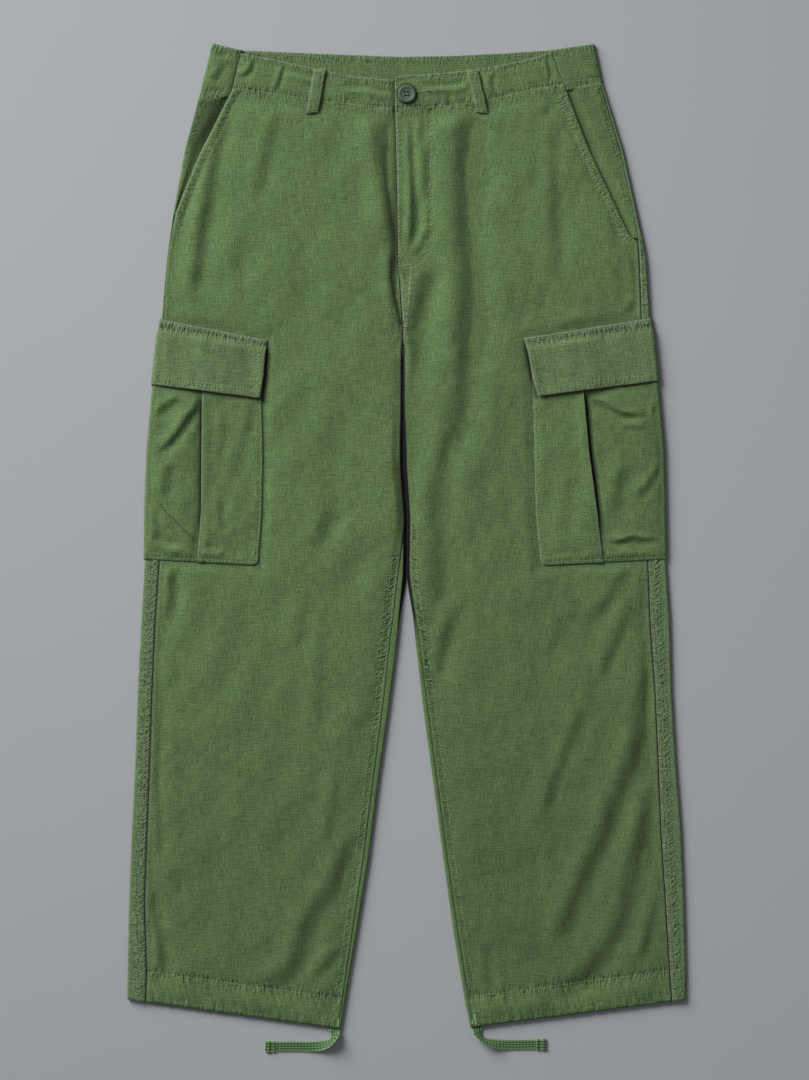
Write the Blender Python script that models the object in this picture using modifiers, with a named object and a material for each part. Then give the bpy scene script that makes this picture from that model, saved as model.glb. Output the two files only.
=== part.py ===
"""Cargo trousers lying flat on a table, front side up.

All sizes are in millimetres and turned into metres as the meshes are made. +X is the wearer's left,
+Y runs from the hems to the waist and +Z is up. The origin is on the table, under the middle of the
garment. Every leg is a flattened tube: the back panel lies on the table, turns up round both side
folds and meets the front panel at the seams. Pockets, flaps and bands are layers moved out from it.
"""

import functools
import math
from collections import namedtuple

import bmesh
import bpy

MM = 0.001

# Cloth
WALL = 1.2  # one layer of cloth
BAND_WALL = 1.6  # doubled cloth of the waistband
FLAP_WALL = 1.4  # doubled cloth of a pocket flap
GAP = 0.3  # clearance between neighbouring pieces
FOLD_R = 2.1  # outer radius where the cloth turns round a side fold
DECK = 2 * FOLD_R  # height of the front panels' outer face where they lie level
LAYER = GAP + WALL  # what one more layer of cloth adds

# Leg panels
ROW_STEP = 27.0  # longest stretch between two rows of a front panel
ACROSS = 12  # cells across the middle of a front panel
TURN = 3  # cells of a front panel at each seam
WRAP = 7  # cells of a back panel from a seam to the underside
LAP_CELLS = 2  # of them on the top, where the seam lies there
EDGE_ZONE = 2.0  # width of those cells where the seam lies on the top
SIDE_SEAM = 0.25  # radians above level where a seam lies on a fold's side
SIDE_GAP = 1.15  # clearance at the outer face of such a seam; the inner faces are nearer
CROTCH_GAP = 1.3  # more of it under the crotch, where the walls twist
NO_FOLD = -99.0  # in place of a seam's distance where the panel ends at the centre seam
CENTRE_STRIP = 5.0  # width of a back panel's cells beside the centre seam

# One row per line across a leg, from the waist to the hem. out_y and in_y are the line's height at
# the outer and the inner fold, out_fold and in_fold the folds' places, and the laps tell how far in
# from a fold the seam lies. An opening is how far in the hand pocket's edge lies.
Line = namedtuple("Line", "name out_y out_fold out_lap opening in_y in_fold in_lap")
RIGHT_LEG = (
    Line("front_waist", 493.0, -225.5, 0.1, 34.0, 466.5, -12.5, 0.0),
    Line("back_waist", 476.5, -229.5, 0.1, 0.0, 487.0, -12.0, 0.0),
    Line("facing_waist", 476.5, -229.5, 0.1, 33.0, 513.0, -12.0, 0.0),
    Line("hip", 425.0, -243.5, 0.1, 17.5, 407.5, -11.0, 0.0),
    Line("pocket_foot", 356.5, -256.0, 0.1, 2.5, 343.5, -9.84, 0.0),
    Line("fly_foot", 308.5, -263.0, 0.1, 0.1, 297.5, -9.0, 0.0),
    Line("crotch", 239.0, -269.5, 2.2, 2.2, 220.5, -4.0, 0.0),
    Line("crotch_under", 226.0, -271.2, 3.8, 3.8, 206.0, -5.0, 0.1),
    Line("inseam_top", 212.0, -273.0, 5.0, 5.0, 193.0, -5.0, 0.1),
    Line("flap_lip", 161.0, -278.5, 10.5, 10.5, 146.5, -5.0, 0.1),
    Line("pocket_middle", 95.0, -284.5, 15.5, 15.5, 81.5, -6.5, 0.1),
    Line("thigh", 29.0, -287.0, 17.0, 17.0, 18.0, -1.5, 0.1),
    Line("pocket_hem", -26.0, -287.5, 16.0, 16.0, -40.5, -2.5, 6.0),
    Line("knee", -92.0, -291.5, 15.5, 15.5, -112.0, -9.5, 7.5),
    Line("calf_upper", -169.0, -295.5, 16.0, 16.0, -191.0, -19.5, 6.5),
    Line("calf_middle", -246.0, -298.0, 16.0, 16.0, -271.5, -31.0, 5.5),
    Line("calf_lower", -323.0, -302.0, 17.0, 17.0, -351.5, -41.0, 5.5),
    Line("shin", -400.0, -305.0, 17.0, 17.0, -432.0, -54.0, 4.5),
    Line("hem_stitch", -475.0, -306.5, 21.0, 21.0, -509.0, -67.0, 3.0),
    Line("casing", -479.0, -306.6, 21.0, 21.0, -513.0, -67.6, 3.0),
    Line("hem", -509.0, -307.0, 20.5, 20.5, -541.5, -72.0, 3.0),
)
LEFT_LEG = (
    Line("front_waist", 499.0, 215.5, 2.2, 42.0, 466.5, -12.5, 0.0),
    Line("back_waist", 498.0, 215.5, 2.2, 0.0, 487.0, -12.0, 0.0),
    Line("facing_waist", 498.0, 215.5, 2.2, 40.0, 445.0, -12.0, 0.0),
    Line("hip", 425.0, 238.0, 3.0, 36.0, 407.5, -11.0, 0.0),
    Line("pocket_foot", 330.5, 259.0, 4.5, 13.5, 319.5, -9.4, 0.0),
    Line("pocket_under", 323.5, 260.5, 5.5, 5.5, 312.5, -9.27, 0.0),
    Line("fly_foot", 304.0, 264.0, 8.0, 8.0, 297.5, -9.0, 0.0),
    Line("crotch", 240.0, 268.0, 9.5, 9.5, 220.5, -4.0, 0.0),
    Line("crotch_under", 227.0, 269.6, 10.4, 10.4, 206.0, -3.0, 0.1),
    Line("inseam_top", 213.0, 271.2, 11.5, 11.5, 193.0, -3.0, 0.1),
    Line("flap_lip", 167.5, 276.0, 15.5, 15.5, 146.5, -3.0, 0.1),
    Line("pocket_middle", 95.0, 282.5, 20.0, 20.0, 81.5, 0.0, 0.1),
    Line("thigh", 29.0, 284.0, 20.0, 20.0, 18.0, 4.0, 0.1),
    Line("pocket_hem", -26.0, 285.0, 19.5, 19.5, -40.5, 3.0, 0.1),
    Line("knee", -92.0, 289.5, 21.5, 21.5, -112.0, 9.5, 3.5),
    Line("calf_upper", -169.0, 291.5, 18.0, 18.0, -191.0, 18.5, 4.5),
    Line("calf_middle", -246.0, 296.0, 19.0, 19.0, -271.5, 29.5, 4.0),
    Line("calf_lower", -323.0, 302.0, 22.0, 22.0, -351.5, 40.0, 4.0),
    Line("shin", -400.0, 305.0, 20.0, 20.0, -432.0, 51.0, 4.5),
    Line("hem_stitch", -475.0, 307.0, 17.5, 17.5, -507.0, 63.5, 4.0),
    Line("casing", -479.0, 307.0, 17.2, 17.2, -511.0, 64.2, 3.9),
    Line("hem", -509.5, 307.0, 15.0, 15.0, -540.0, 70.0, 3.0),
)
LEGS = {"right": RIGHT_LEG, "left": LEFT_LEG}
WAIST_LINES = ("front_waist", "back_waist", "facing_waist")
SEAM_SHIFT = 0.5 * GAP  # half of the clearance at the centre seams

# The largest soft folds of the front panels: a route, the half width and the height of each.
Crease = namedtuple("Crease", "name route half_width height")
CREASES = (
    Crease("thigh_left", ((98, 462), (86, 350), (78, 150), (58, 84), (44, 10)), 17, 1.9),
    Crease("thigh_left_hollow", ((70, 455), (56, 340), (50, 150), (34, 70)), 13, -0.9),
    Crease("fly_left", ((28, 302), (14, 260), (8, 200)), 10, 1.2),
    Crease("fly_right", ((-50, 455), (-40, 400), (-36, 330), (-26, 262)), 14, 1.7),
    Crease("hip_right", ((-186, 440), (-196, 390), (-214, 330)), 15, 1.5),
    Crease("belly_right", ((-132, 455), (-140, 415), (-154, 360)), 15, 1.6),
    Crease("belly_left", ((178, 462), (182, 380)), 13, 1.4),
    Crease("seat_right", ((-40, 240), (-70, 180), (-90, 90)), 20, 1.2),
    Crease("knee_left", ((212, -58), (190, -120), (150, -190)), 22, 1.2),
    Crease("calf_left", ((236, -190), (224, -250), (214, -300)), 15, 1.4),
    Crease("ankle_left", ((228, -400), (204, -452), (166, -478)), 14, 1.6),
    Crease("shin_left", ((150, -370), (120, -440), (100, -500)), 17, 1.2),
    Crease("knee_right", ((-226, -70), (-180, -150), (-120, -240)), 24, 1.1),
    Crease("ankle_right", ((-78, -390), (-104, -440), (-122, -486)), 14, 1.6),
    Crease("shin_right", ((-262, -350), (-254, -430), (-250, -480)), 15, 1.1),
)
LAP_LIFT = 0.9  # the left front lies over the right one at the fly
LAP_WIDTH = 40.0
LAP_FOOT = 273.0  # the lap has thinned out here, and starts to this far above
LAP_RUN = 30.0
FLY_X = -12.0
RISE_LIFT = 0.35  # the felled rise seam below it
RISE_FOOT = 225.0
RISE_RUN = 25.0
SEAM_FADE = 12.0  # folds die away this near a seam
WAIST_FADE = 26.0
HEM_LIFT = 0.5  # the doubled cloth of the drawcord's casing stands up from the leg
HEM_EDGE = 4.0  # width over which it does

# Hand pockets: the facing lies one layer below the front panel's slanting edge.
FACING_TUCK = 9.0  # how far it runs on under the front panel
FACING_SINK = LAYER
FACING_FOOT = 0.8  # share of the last stretch of the opening that it fills
FACING_LEVEL = 0.5  # its second column lies this far past the fold
FACING_EDGE = 1.0  # and it has sunk by this far outside the opening's edge
FACING_FALL = (0.0, 0.0, 0.0, 0.6, 1.0, 1.0)  # how it sinks, column by column

# Cargo pockets. One row per line across a pocket; pleat and sewn are measured in from the fold.
PocketLine = namedtuple("PocketLine", "name out_y in_y pleat sewn")
RIGHT_POCKET = (
    PocketLine("mouth", 206.0, 196.0, 52.0, 117.0),
    PocketLine("lip", 161.0, 152.0, 54.0, 119.5),
    PocketLine("middle", 95.0, 91.0, 59.5, 127.0),
    PocketLine("lower", 29.0, 26.0, 61.5, 128.5),
    PocketLine("hem", -25.5, -32.0, 57.5, 124.5),
)
LEFT_POCKET = (
    PocketLine("mouth", 208.0, 198.0, 80.0, 135.0),
    PocketLine("lip", 167.5, 155.0, 81.5, 137.0),
    PocketLine("middle", 95.0, 91.0, 82.0, 142.0),
    PocketLine("lower", 29.0, 26.0, 74.5, 142.0),
    PocketLine("hem", -25.5, -32.5, 69.0, 137.5),
)
POCKETS = {"right": RIGHT_POCKET, "left": LEFT_POCKET}
POCKET_ROUND = -0.33  # radians below level where a pocket ends on the fold's side
PLEAT_TUCK = 15.0  # how far the outer half runs on under the pleat
PLEAT_WALL = 2.2  # the cloth is folded back on itself at the pleat
PLEAT_RISE = 9.0  # width over which the inner half climbs on to the outer half
OVER_PLEAT = LAYER + PLEAT_WALL - WALL  # how far it and the flap rise over the outer half
PLEAT_STEPS = (3.0, 16.0)  # columns on the raised part, measured in from the pleat
PLEAT_REST = 1.8  # it comes down this far past the outer half's end
PLEAT_EDGE = 3.0  # width of the last column beside the seam
BAG = 0.9  # how far the outer half bellies out
BAG_TOP = 150.0  # height where it starts to, under the flap
BAG_FADE = 30.0
POCKET_STEP = 24.0
POCKET_ARC = 4  # cells of an outer half or a flap round the fold
POCKET_CELLS = 7  # cells of an outer half from the fold to its end
POCKET_CLEAR = 4.0  # folds of a front panel start this far beyond a pocket
FLAP_CLEAR = 2.0  # and this far above its flap
POCKET_FADE = 24.0

# Flaps. One row per line across a flap, measured in from the leg's fold.
FlapLine = namedtuple("FlapLine", "name out_y in_y width raised")
RIGHT_FLAP = (
    FlapLine("sewn", 239.0, 215.5, 117.0, 0.0),
    FlapLine("fold", 217.0, 199.5, 117.5, 1.0),
    FlapLine("middle", 192.0, 176.0, 118.5, 1.0),
    FlapLine("lip", 166.5, 151.5, 117.0, 1.0),
)
LEFT_FLAP = (
    FlapLine("sewn", 240.0, 218.0, 139.0, 0.0),
    FlapLine("fold", 219.0, 201.0, 137.0, 1.0),
    FlapLine("middle", 195.0, 178.0, 135.5, 1.0),
    FlapLine("lip", 170.5, 153.5, 131.5, 1.0),
)
FLAPS = {"right": RIGHT_FLAP, "left": LEFT_FLAP}
FLAP_ROUND = -0.31
# Columns of a flap from the pleat, and from its free side; the lifts carry it over the pleat.
FLAP_STEPS = (-18.0, -5.0, 26.0, 40.0)
FLAP_EDGE = 4.0
FLAP_LIFTS = (0.0, 0.0, 1.0, 1.0, 0.35, 0.1, 0.0)

# Waistband. Each row is one line over the band's height, from its top edge to its lower edge.
BandLine = namedtuple("BandLine", "top_x top_y low_x low_y")
RIGHT_FRONT_BAND = (
    BandLine(-182.0, 530.5, -192.0, 489.0),
    BandLine(-160.0, 526.5, -165.0, 486.0),
    BandLine(-128.0, 520.0, -132.0, 480.5),
    BandLine(-95.0, 513.0, -101.0, 475.5),
    BandLine(-60.0, 505.5, -64.0, 472.5),
    BandLine(-13.0, 501.0, -12.8, 466.8),
)
LEFT_FRONT_BAND = (
    BandLine(-12.4, 505.0, -12.2, 466.8),
    BandLine(32.0, 508.5, 35.0, 469.0),
    BandLine(70.0, 512.0, 76.0, 473.0),
    BandLine(103.0, 517.5, 108.0, 481.0),
    BandLine(132.0, 523.5, 140.0, 488.0),
    BandLine(159.0, 531.5, 173.0, 494.0),
)
FRONT_BANDS = {"right": RIGHT_FRONT_BAND, "left": LEFT_FRONT_BAND}
BAND_LIFT = 0.6  # the doubled band stands above the panel it is sewn to
# Where the back band comes round on to the front: its edge beside the front band, then beside the
# pocket's slanting edge, and the fold that it turns round.
BandEnd = namedtuple("BandEnd", "edge_top edge_side edge_foot fold_top fold_low")
BAND_HEIGHTS = (0.0, 0.87, 1.0)  # shares of the band's height, the first two beside the front band
BACK_BAND_ENDS = {
    "right": BandEnd((-182.5, 534.3), (-192.5, 489.0), (-195.4, 482.7), (-213.5, 541.5), (-229.5, 477.0)),
    "left": BandEnd((159.6, 534.3), (173.8, 494.2), (176.3, 489.0), (206.5, 541.0), (215.5, 498.5)),
}
BACK_BAND = (
    BandLine(-183.0, 534.5, -190.0, 478.8),
    BandLine(-120.0, 531.5, -120.0, 482.5),
    BandLine(-60.0, 529.0, -60.0, 485.0),
    BandLine(-7.0, 527.0, -7.0, 487.7),
    BandLine(50.0, 528.0, 50.0, 490.5),
    BandLine(110.0, 531.0, 110.0, 493.5),
    BandLine(169.0, 535.5, 175.0, 496.8),
)
BAND_ARC = 5

# Belt loops: the corners at the top and at the foot, wearer's right then left.
LOOP_WALL = 1.5
LOOP_ARCH = 0.9
LOOPS = {
    "right": BandLine(-95.0, 513.5, -103.5, 464.5),
    "left": BandLine(72.0, 512.5, 83.0, 464.5),
}
LOOP_WIDTH = 13.5
LOOP_CELLS = 6

# Button
BUTTON_AT = (0.5, 485.5)
BUTTON_R = 10.0
BUTTON_THICK = 3.2
BUTTON_RIM = 2.2
BUTTON_DISH = 0.9
BUTTON_HOLE_R = 0.9
BUTTON_HOLE_SPREAD = 1.7
BUTTON_SLOPE = 1.2  # width of the slope from the rim to the dish
BUTTON_EDGE = 1.0  # size of the rounding at the rim
BUTTON_SHANK = 2.2  # the underside turns up this far in from the edge

# Drawcords: flat tapes. Each route starts inside the hem; roll stands the tape on its edge.
CORD_WIDTH = 10.5
CORD_THICK = 1.2
CordPoint = namedtuple("CordPoint", "x y z roll")
RIGHT_CORD = (
    CordPoint(-79.0, -524.0, 2.1, 0.0),
    CordPoint(-79.0, -536.0, 2.1, 0.0),
    CordPoint(-79.0, -541.5, 2.1, 0.0),
    CordPoint(-78.9, -543.5, 2.3, 4.0),
    CordPoint(-78.7, -548.0, 3.8, 35.0),
    CordPoint(-81.5, -554.3, 5.1, 62.0),
    CordPoint(-88.5, -558.6, 4.0, 40.0),
    CordPoint(-98.0, -560.6, 1.9, 12.0),
    CordPoint(-110.0, -561.2, 0.9, 1.0),
    CordPoint(-126.0, -561.0, 0.8, 0.0),
    CordPoint(-143.6, -561.3, 0.8, 0.0),
)
LEFT_CORD = (
    CordPoint(77.5, -523.0, 2.1, 0.0),
    CordPoint(77.4, -535.0, 2.1, 0.0),
    CordPoint(77.4, -540.0, 2.1, 0.0),
    CordPoint(77.5, -542.0, 2.3, -4.0),
    CordPoint(78.4, -546.7, 3.8, -35.0),
    CordPoint(83.4, -552.8, 5.1, -62.0),
    CordPoint(92.0, -556.6, 4.0, -40.0),
    CordPoint(103.0, -558.6, 1.9, -12.0),
    CordPoint(114.0, -559.2, 0.9, -1.0),
    CordPoint(128.0, -559.1, 0.8, 0.0),
    CordPoint(141.9, -558.9, 0.8, 0.0),
)
CORDS = {"right": RIGHT_CORD, "left": LEFT_CORD}
CORD_STEPS = 3  # points between two of a route's own points
CORD_END_LENGTH = 11.5
CORD_END_WIDTH = 13.0
CORD_END_THICK = 2.6
CORD_END_LIFT = 0.05
CORD_END_ROUND = 0.9

# Colours
CLOTH = (0.112, 0.180, 0.078, 1.0)
CLOTH_INSIDE = (0.100, 0.163, 0.070, 1.0)
TAPE = (0.085, 0.190, 0.085, 1.0)
HORN = (0.060, 0.105, 0.085, 1.0)


# ---------------------------------------------------------------- small helpers


def smooth(t):
    """0 to 1 with level ends, for t from 0 to 1."""
    t = min(1.0, max(0.0, t))
    return t * t * (3.0 - 2.0 * t)


def mix(a, b, t):
    return a + (b - a) * t


def mix_rows(first, second, t):
    """A row part of the way between two rows of the same table."""
    numbers = [mix(a, b, t) for a, b in zip(first[1:], second[1:])]
    return first._replace(**dict(zip(first._fields[1:], numbers)))


def split_rows(rows, cells):
    """The rows, with the stretch between two of them divided into cells(first, second)."""
    result = [rows[0]]
    for first, second in zip(rows, rows[1:]):
        count = cells(first, second)
        result += [mix_rows(first, second, i / count) for i in range(1, count)]
        result.append(second)
    return result


def inward(side):
    """+1 where inward from the outer fold is towards +X."""
    return 1.0 if side == "right" else -1.0


def seam_place(lap):
    """How far a seam lies past the top of its fold, along the cloth: negative round the side."""
    if lap >= FOLD_R:
        return lap - FOLD_R
    return FOLD_R * (SIDE_SEAM - 0.5 * math.pi) if lap > 0.0 else NO_FOLD


SeamLine = namedtuple("SeamLine", "name out_y out_fold out_seam opening in_y in_fold in_seam")


def leg_lines(side, waist):
    """The leg's rows, starting with the named waist line, with each seam's distance past the top of
    its fold in place of the laps."""
    return [
        SeamLine(
            row.name,
            row.out_y,
            row.out_fold,
            seam_place(row.out_lap),
            row.opening - FOLD_R if row.opening > row.out_lap else seam_place(row.out_lap),
            row.in_y,
            row.in_fold,
            seam_place(row.in_lap),
        )
        for row in LEGS[side]
        if row.name == waist or row.name not in WAIST_LINES
    ]


def turns_over(first, second):
    """Whether a seam comes round from a fold's side to its top between two rows."""
    return first.out_seam * second.out_seam < 0.0 or (
        first.in_seam * second.in_seam < 0.0 and first.in_seam > NO_FOLD
    )


def cells_between(first, second):
    return max(1, math.ceil(abs(second.out_y - first.out_y) / ROW_STEP))


def back_rows(side):
    lines = leg_lines(side, "back_waist")
    return split_rows(lines, lambda a, b: cells_between(a, b) if turns_over(a, b) else 1)


@functools.cache
def front_rows(side):
    return split_rows(leg_lines(side, "front_waist"), cells_between)


def band_line(side, low_x):
    """The line over the front band that starts at a place on its lower edge."""
    lines = FRONT_BANDS[side]
    for first, second in zip(lines, lines[1:]):
        share = (low_x - first.low_x) / (second.low_x - first.low_x)
        if share <= 1.0 or second is lines[-1]:
            return BandLine(*(mix(a, b, share) for a, b in zip(first, second)))


def material(name, colour, roughness):
    made = bpy.data.materials.new(name)
    made.use_nodes = True
    shader = made.node_tree.nodes["Principled BSDF"]
    shader.inputs["Base Color"].default_value = colour
    shader.inputs["Roughness"].default_value = roughness
    shader.inputs["Metallic"].default_value = 0.0
    return made


def link(name, data, colour, roughness=0.9):
    obj = bpy.data.objects.new(name, data)
    GARMENT.objects.link(obj)
    data.materials.append(material(name + "_material", colour, roughness))
    return obj


def sheet(name, columns, rows, place, wall, colour=CLOTH):
    """A sheet of cloth: a grid moved so that place(i, j) gives its outer face in millimetres, with
    its wall below. i runs over columns + 1 points and j over rows + 1 points."""
    mesh = bpy.data.meshes.new(name)
    bm = bmesh.new()
    bmesh.ops.create_grid(bm, x_segments=columns, y_segments=rows, size=0.5)
    for vert in bm.verts:
        i = round((vert.co.x + 0.5) * columns)
        j = round((vert.co.y + 0.5) * rows)
        vert.co = [MM * value for value in place(i, j)]
    bmesh.ops.recalc_face_normals(bm, faces=bm.faces)
    top = [face for face in bm.faces if face.calc_center_median().z > 0.5 * DECK * MM]
    if sum(face.normal.z * face.calc_area() for face in top) < 0.0:
        bmesh.ops.reverse_faces(bm, faces=bm.faces)
    bm.to_mesh(mesh)
    bm.free()
    mesh.shade_smooth()
    obj = link(name, mesh, colour)
    thick = obj.modifiers.new("Wall", "SOLIDIFY")
    thick.thickness = wall * MM
    thick.offset = -1.0
    thick.use_even_offset = True
    return obj


# ---------------------------------------------------------------- the flattened leg


def round_fold(fold, toward, along, radius=FOLD_R):
    """x and height of the cloth a distance along from the top of a fold, negative round its side.
    The cloth turns about the axis of the leg's own fold, which other layers share."""
    axis = fold + toward * FOLD_R
    if along >= 0.0:
        return axis + toward * along, FOLD_R + radius
    angle = 0.5 * math.pi + along / radius
    if angle < -0.5 * math.pi:
        return axis + toward * (-0.5 * math.pi - angle) * radius, FOLD_R - radius
    return axis - toward * radius * math.cos(angle), FOLD_R + radius * math.sin(angle)


def line_y(row, x):
    """Height along Y of a leg's row at x."""
    t = (x - row.out_fold) / (row.in_fold - row.out_fold)
    return mix(row.out_y, row.in_y, t)


def near_route(x, y, route):
    """Distance to a route and the share of its length where it is nearest."""
    best = (1e9, 0.0)
    count = len(route) - 1
    for i, (start, end) in enumerate(zip(route, route[1:])):
        dx, dy = end[0] - start[0], end[1] - start[1]
        t = ((x - start[0]) * dx + (y - start[1]) * dy) / (dx * dx + dy * dy)
        t = min(1.0, max(0.0, t))
        gap = math.hypot(x - start[0] - t * dx, y - start[1] - t * dy)
        best = min(best, (gap, (i + t) / count))
    return best


def crease_height(x, y, creases):
    """The summed height of the soft folds at a point."""
    total = 0.0
    for crease in creases:
        gap, share = near_route(x, y, crease.route)
        ends = smooth(share / 0.25) * smooth((1.0 - share) / 0.25)
        total += crease.height * ends * math.exp(-((gap / crease.half_width) ** 2))
    return total


def fold_inset(side, y):
    """The place of a leg's outer fold at a height along Y."""
    rows = leg_lines(side, "back_waist")
    for first, second in zip(rows, rows[1:]):
        if second.out_y <= y <= first.out_y:
            return mix(first.out_fold, second.out_fold, (first.out_y - y) / (first.out_y - second.out_y))
    return rows[0].out_fold if y > rows[0].out_y else rows[-1].out_fold


def pocket_mask(side, x, y):
    """0 under a cargo pocket and its flap, 1 clear of them."""
    pocket = POCKETS[side]
    inner = fold_inset(side, y) + inward(side) * (max(row.sewn for row in pocket) + POCKET_CLEAR)
    beyond_x = inward(side) * (x - inner)
    beyond_y = max(y - FLAPS[side][0].out_y - FLAP_CLEAR, pocket[-1].in_y - POCKET_CLEAR - y)
    return smooth(max(beyond_x, beyond_y) / POCKET_FADE)


def lap_height(side, x, y):
    """The ridge of the left front's lap over the right one, and of the felled seam below it."""
    if side == "right":
        return 0.0
    foot = smooth((y - LAP_FOOT) / LAP_RUN)
    lap = LAP_LIFT * foot + RISE_LIFT * (1.0 - foot) * smooth((y - RISE_FOOT) / RISE_RUN)
    return lap * smooth(1.0 - (x - FLY_X) / LAP_WIDTH)


def casing_height(side, x, y, edge):
    """The ridge of the drawcord's casing, from its stitch row to the hem."""
    stitch = next(row for row in LEGS[side] if row.name == "hem_stitch")
    return HEM_LIFT * smooth((line_y(stitch, x) - y) / HEM_EDGE) * smooth(edge / HEM_EDGE)


def deck(side, x, y, edge):
    """Height of a front panel's outer face. edge is the distance to the nearest seam."""
    height = crease_height(x, y, CREASES) * pocket_mask(side, x, y)
    height *= smooth(edge / SEAM_FADE) * smooth((band_line(side, x).low_y - y) / WAIST_FADE)
    return DECK + height + lap_height(side, x, y) + casing_height(side, x, y, edge)


def wrap_place(seam, i):
    """The places where a back panel turns round a fold, from its seam (i = 0) to the underside."""
    under = -math.pi * FOLD_R
    if seam < 0.0:
        return mix(seam, under, smooth(i / WRAP))
    if i < LAP_CELLS:
        return mix(seam, 0.0, i / LAP_CELLS)
    return under * (i - LAP_CELLS) / (WRAP - LAP_CELLS)


def back_panel(side):
    rows = back_rows(side)
    toward = inward(side)
    columns = 2 * WRAP + 1

    def place(i, j):
        row = rows[j]
        if i <= WRAP:
            x, z = round_fold(row.out_fold, toward, wrap_place(row.out_seam, i))
        elif row.in_seam > NO_FOLD:
            x, z = round_fold(row.in_fold, -toward, wrap_place(row.in_seam, columns - i))
        else:
            share = (i - WRAP - 1) / WRAP
            x, z = row.in_fold - toward * (SEAM_SHIFT + CENTRE_STRIP * (1.0 - share)), 0.0
        y = line_y(row, x) - (GAP if j == 0 else 0.0)
        return x, y, z

    return sheet(f"back_{side}", columns, len(rows) - 1, place, WALL)


def seam_clear(along):
    """The front panel's edge beside a seam of the back panel: a wider slit where it lies round the side,
    because the wall's inner face is shorter there."""
    return along + mix(SIDE_GAP, GAP, smooth(0.5 + along / FOLD_R))


def front_edges(row):
    """Where the front panel starts and ends on a row, as distances along the cloth from the tops of
    the two folds. It has no inner fold above the crotch."""
    start = seam_clear(max(row.out_seam, row.opening))
    if row.in_seam <= NO_FOLD:
        return start, None
    return start, seam_clear(row.in_seam) + (CROTCH_GAP if row.name == "crotch_under" else 0.0)


def panel_place(side, i, j):
    """The outer face of a front panel at column i and row j of its grid."""
    row = front_rows(side)[j]
    toward = inward(side)
    start, end = front_edges(row)
    zone = max(-start, EDGE_ZONE)
    first = round_fold(row.out_fold, toward, start + zone)[0]
    if end is None:
        last = row.in_fold - toward * (SEAM_SHIFT + EDGE_ZONE)
    else:
        last = round_fold(row.in_fold, -toward, end + max(-end, EDGE_ZONE))[0]
    turn = (i - TURN - ACROSS) / TURN
    if i < TURN:
        x, z = round_fold(row.out_fold, toward, start + zone * i / TURN)
    elif turn <= 0.0:
        x, z = mix(first, last, (i - TURN) / ACROSS), DECK
    elif end is None:
        x, z = last + toward * EDGE_ZONE * turn, DECK
    else:
        x, z = round_fold(row.in_fold, -toward, mix(end + max(-end, EDGE_ZONE), end, turn))
    y = line_y(row, x)
    edge = toward * (x - first)
    if end is not None:
        edge = min(edge, toward * (last - x))
    if z >= DECK - 1e-6:
        z = deck(side, x, y, edge)
    return x, band_line(side, x).low_y - GAP if j == 0 else y, z


def front_panel(side):
    place = functools.partial(panel_place, side)
    return sheet(f"front_{side}", 2 * TURN + ACROSS, len(front_rows(side)) - 1, place, WALL)


def pocket_facing(side):
    """The side panel seen in a hand pocket's slanting opening. Its columns run from the side seam to
    a little way under the front panel."""
    lines = leg_lines(side, "facing_waist")
    foot = next(i for i, row in enumerate(lines) if row.name == "pocket_foot")
    lines = lines[:foot] + [mix_rows(lines[foot - 1], lines[foot], FACING_FOOT)]
    rows = split_rows(lines, cells_between)
    toward = inward(side)

    def place(i, j):
        row = rows[j]
        start = seam_clear(row.out_seam)
        level = max(start, 0.0) + FACING_LEVEL
        edge = row.opening - FACING_EDGE
        along = (start, mix(start, level, 0.5), level, mix(level, edge, 0.5), edge, edge + FACING_TUCK)[i]
        x, z = round_fold(row.out_fold, toward, along)
        return x, line_y(row, x) - (GAP if j == 0 else 0.0), z - FACING_SINK * FACING_FALL[i]

    return sheet(f"pocket_facing_{side}", len(FACING_FALL) - 1, len(rows) - 1, place, WALL)


# ---------------------------------------------------------------- cargo pockets


def pocket_rows(side):
    return split_rows(POCKETS[side], lambda a, b: max(1, round((a.out_y - b.out_y) / POCKET_STEP)))


def pocket_y(row, x, fold):
    """Height along Y of a pocket's row, level out at the fold."""
    share = abs(x - fold) / row.sewn
    return mix(row.out_y, row.in_y, min(1.0, share))


def bag_height(row, along, level):
    """How far the outer half of a pocket bellies out, between the fold and the pleat."""
    across = along / (row.pleat - FOLD_R - 4.0)
    if not 0.0 < across < 1.0:
        return 0.0
    return BAG * math.sin(math.pi * across) * level


def pocket_outer(side):
    """The outer half of a cargo pocket: it turns down round the leg's fold and runs under the pleat."""
    rows = pocket_rows(side)
    toward = inward(side)
    radius = FOLD_R + LAYER
    low = (POCKET_ROUND - 0.5 * math.pi) * radius
    foot_y = rows[-1].out_y

    def clear_of_ends(y):
        return smooth((BAG_TOP - y) / BAG_FADE) * smooth((y - foot_y) / BAG_FADE)

    def place(i, j):
        row = rows[j]
        fold = fold_inset(side, row.out_y)
        end = row.pleat - FOLD_R + PLEAT_TUCK
        turned = i / POCKET_ARC
        along = low * (1.0 - turned) if turned <= 1.0 else end * (i - POCKET_ARC) / POCKET_CELLS
        x, z = round_fold(fold, toward, along, radius)
        return x, pocket_y(row, x, fold), z + bag_height(row, along, clear_of_ends(row.out_y))

    return sheet(f"cargo_pocket_{side}", POCKET_ARC + POCKET_CELLS, len(rows) - 1, place, WALL)


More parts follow.
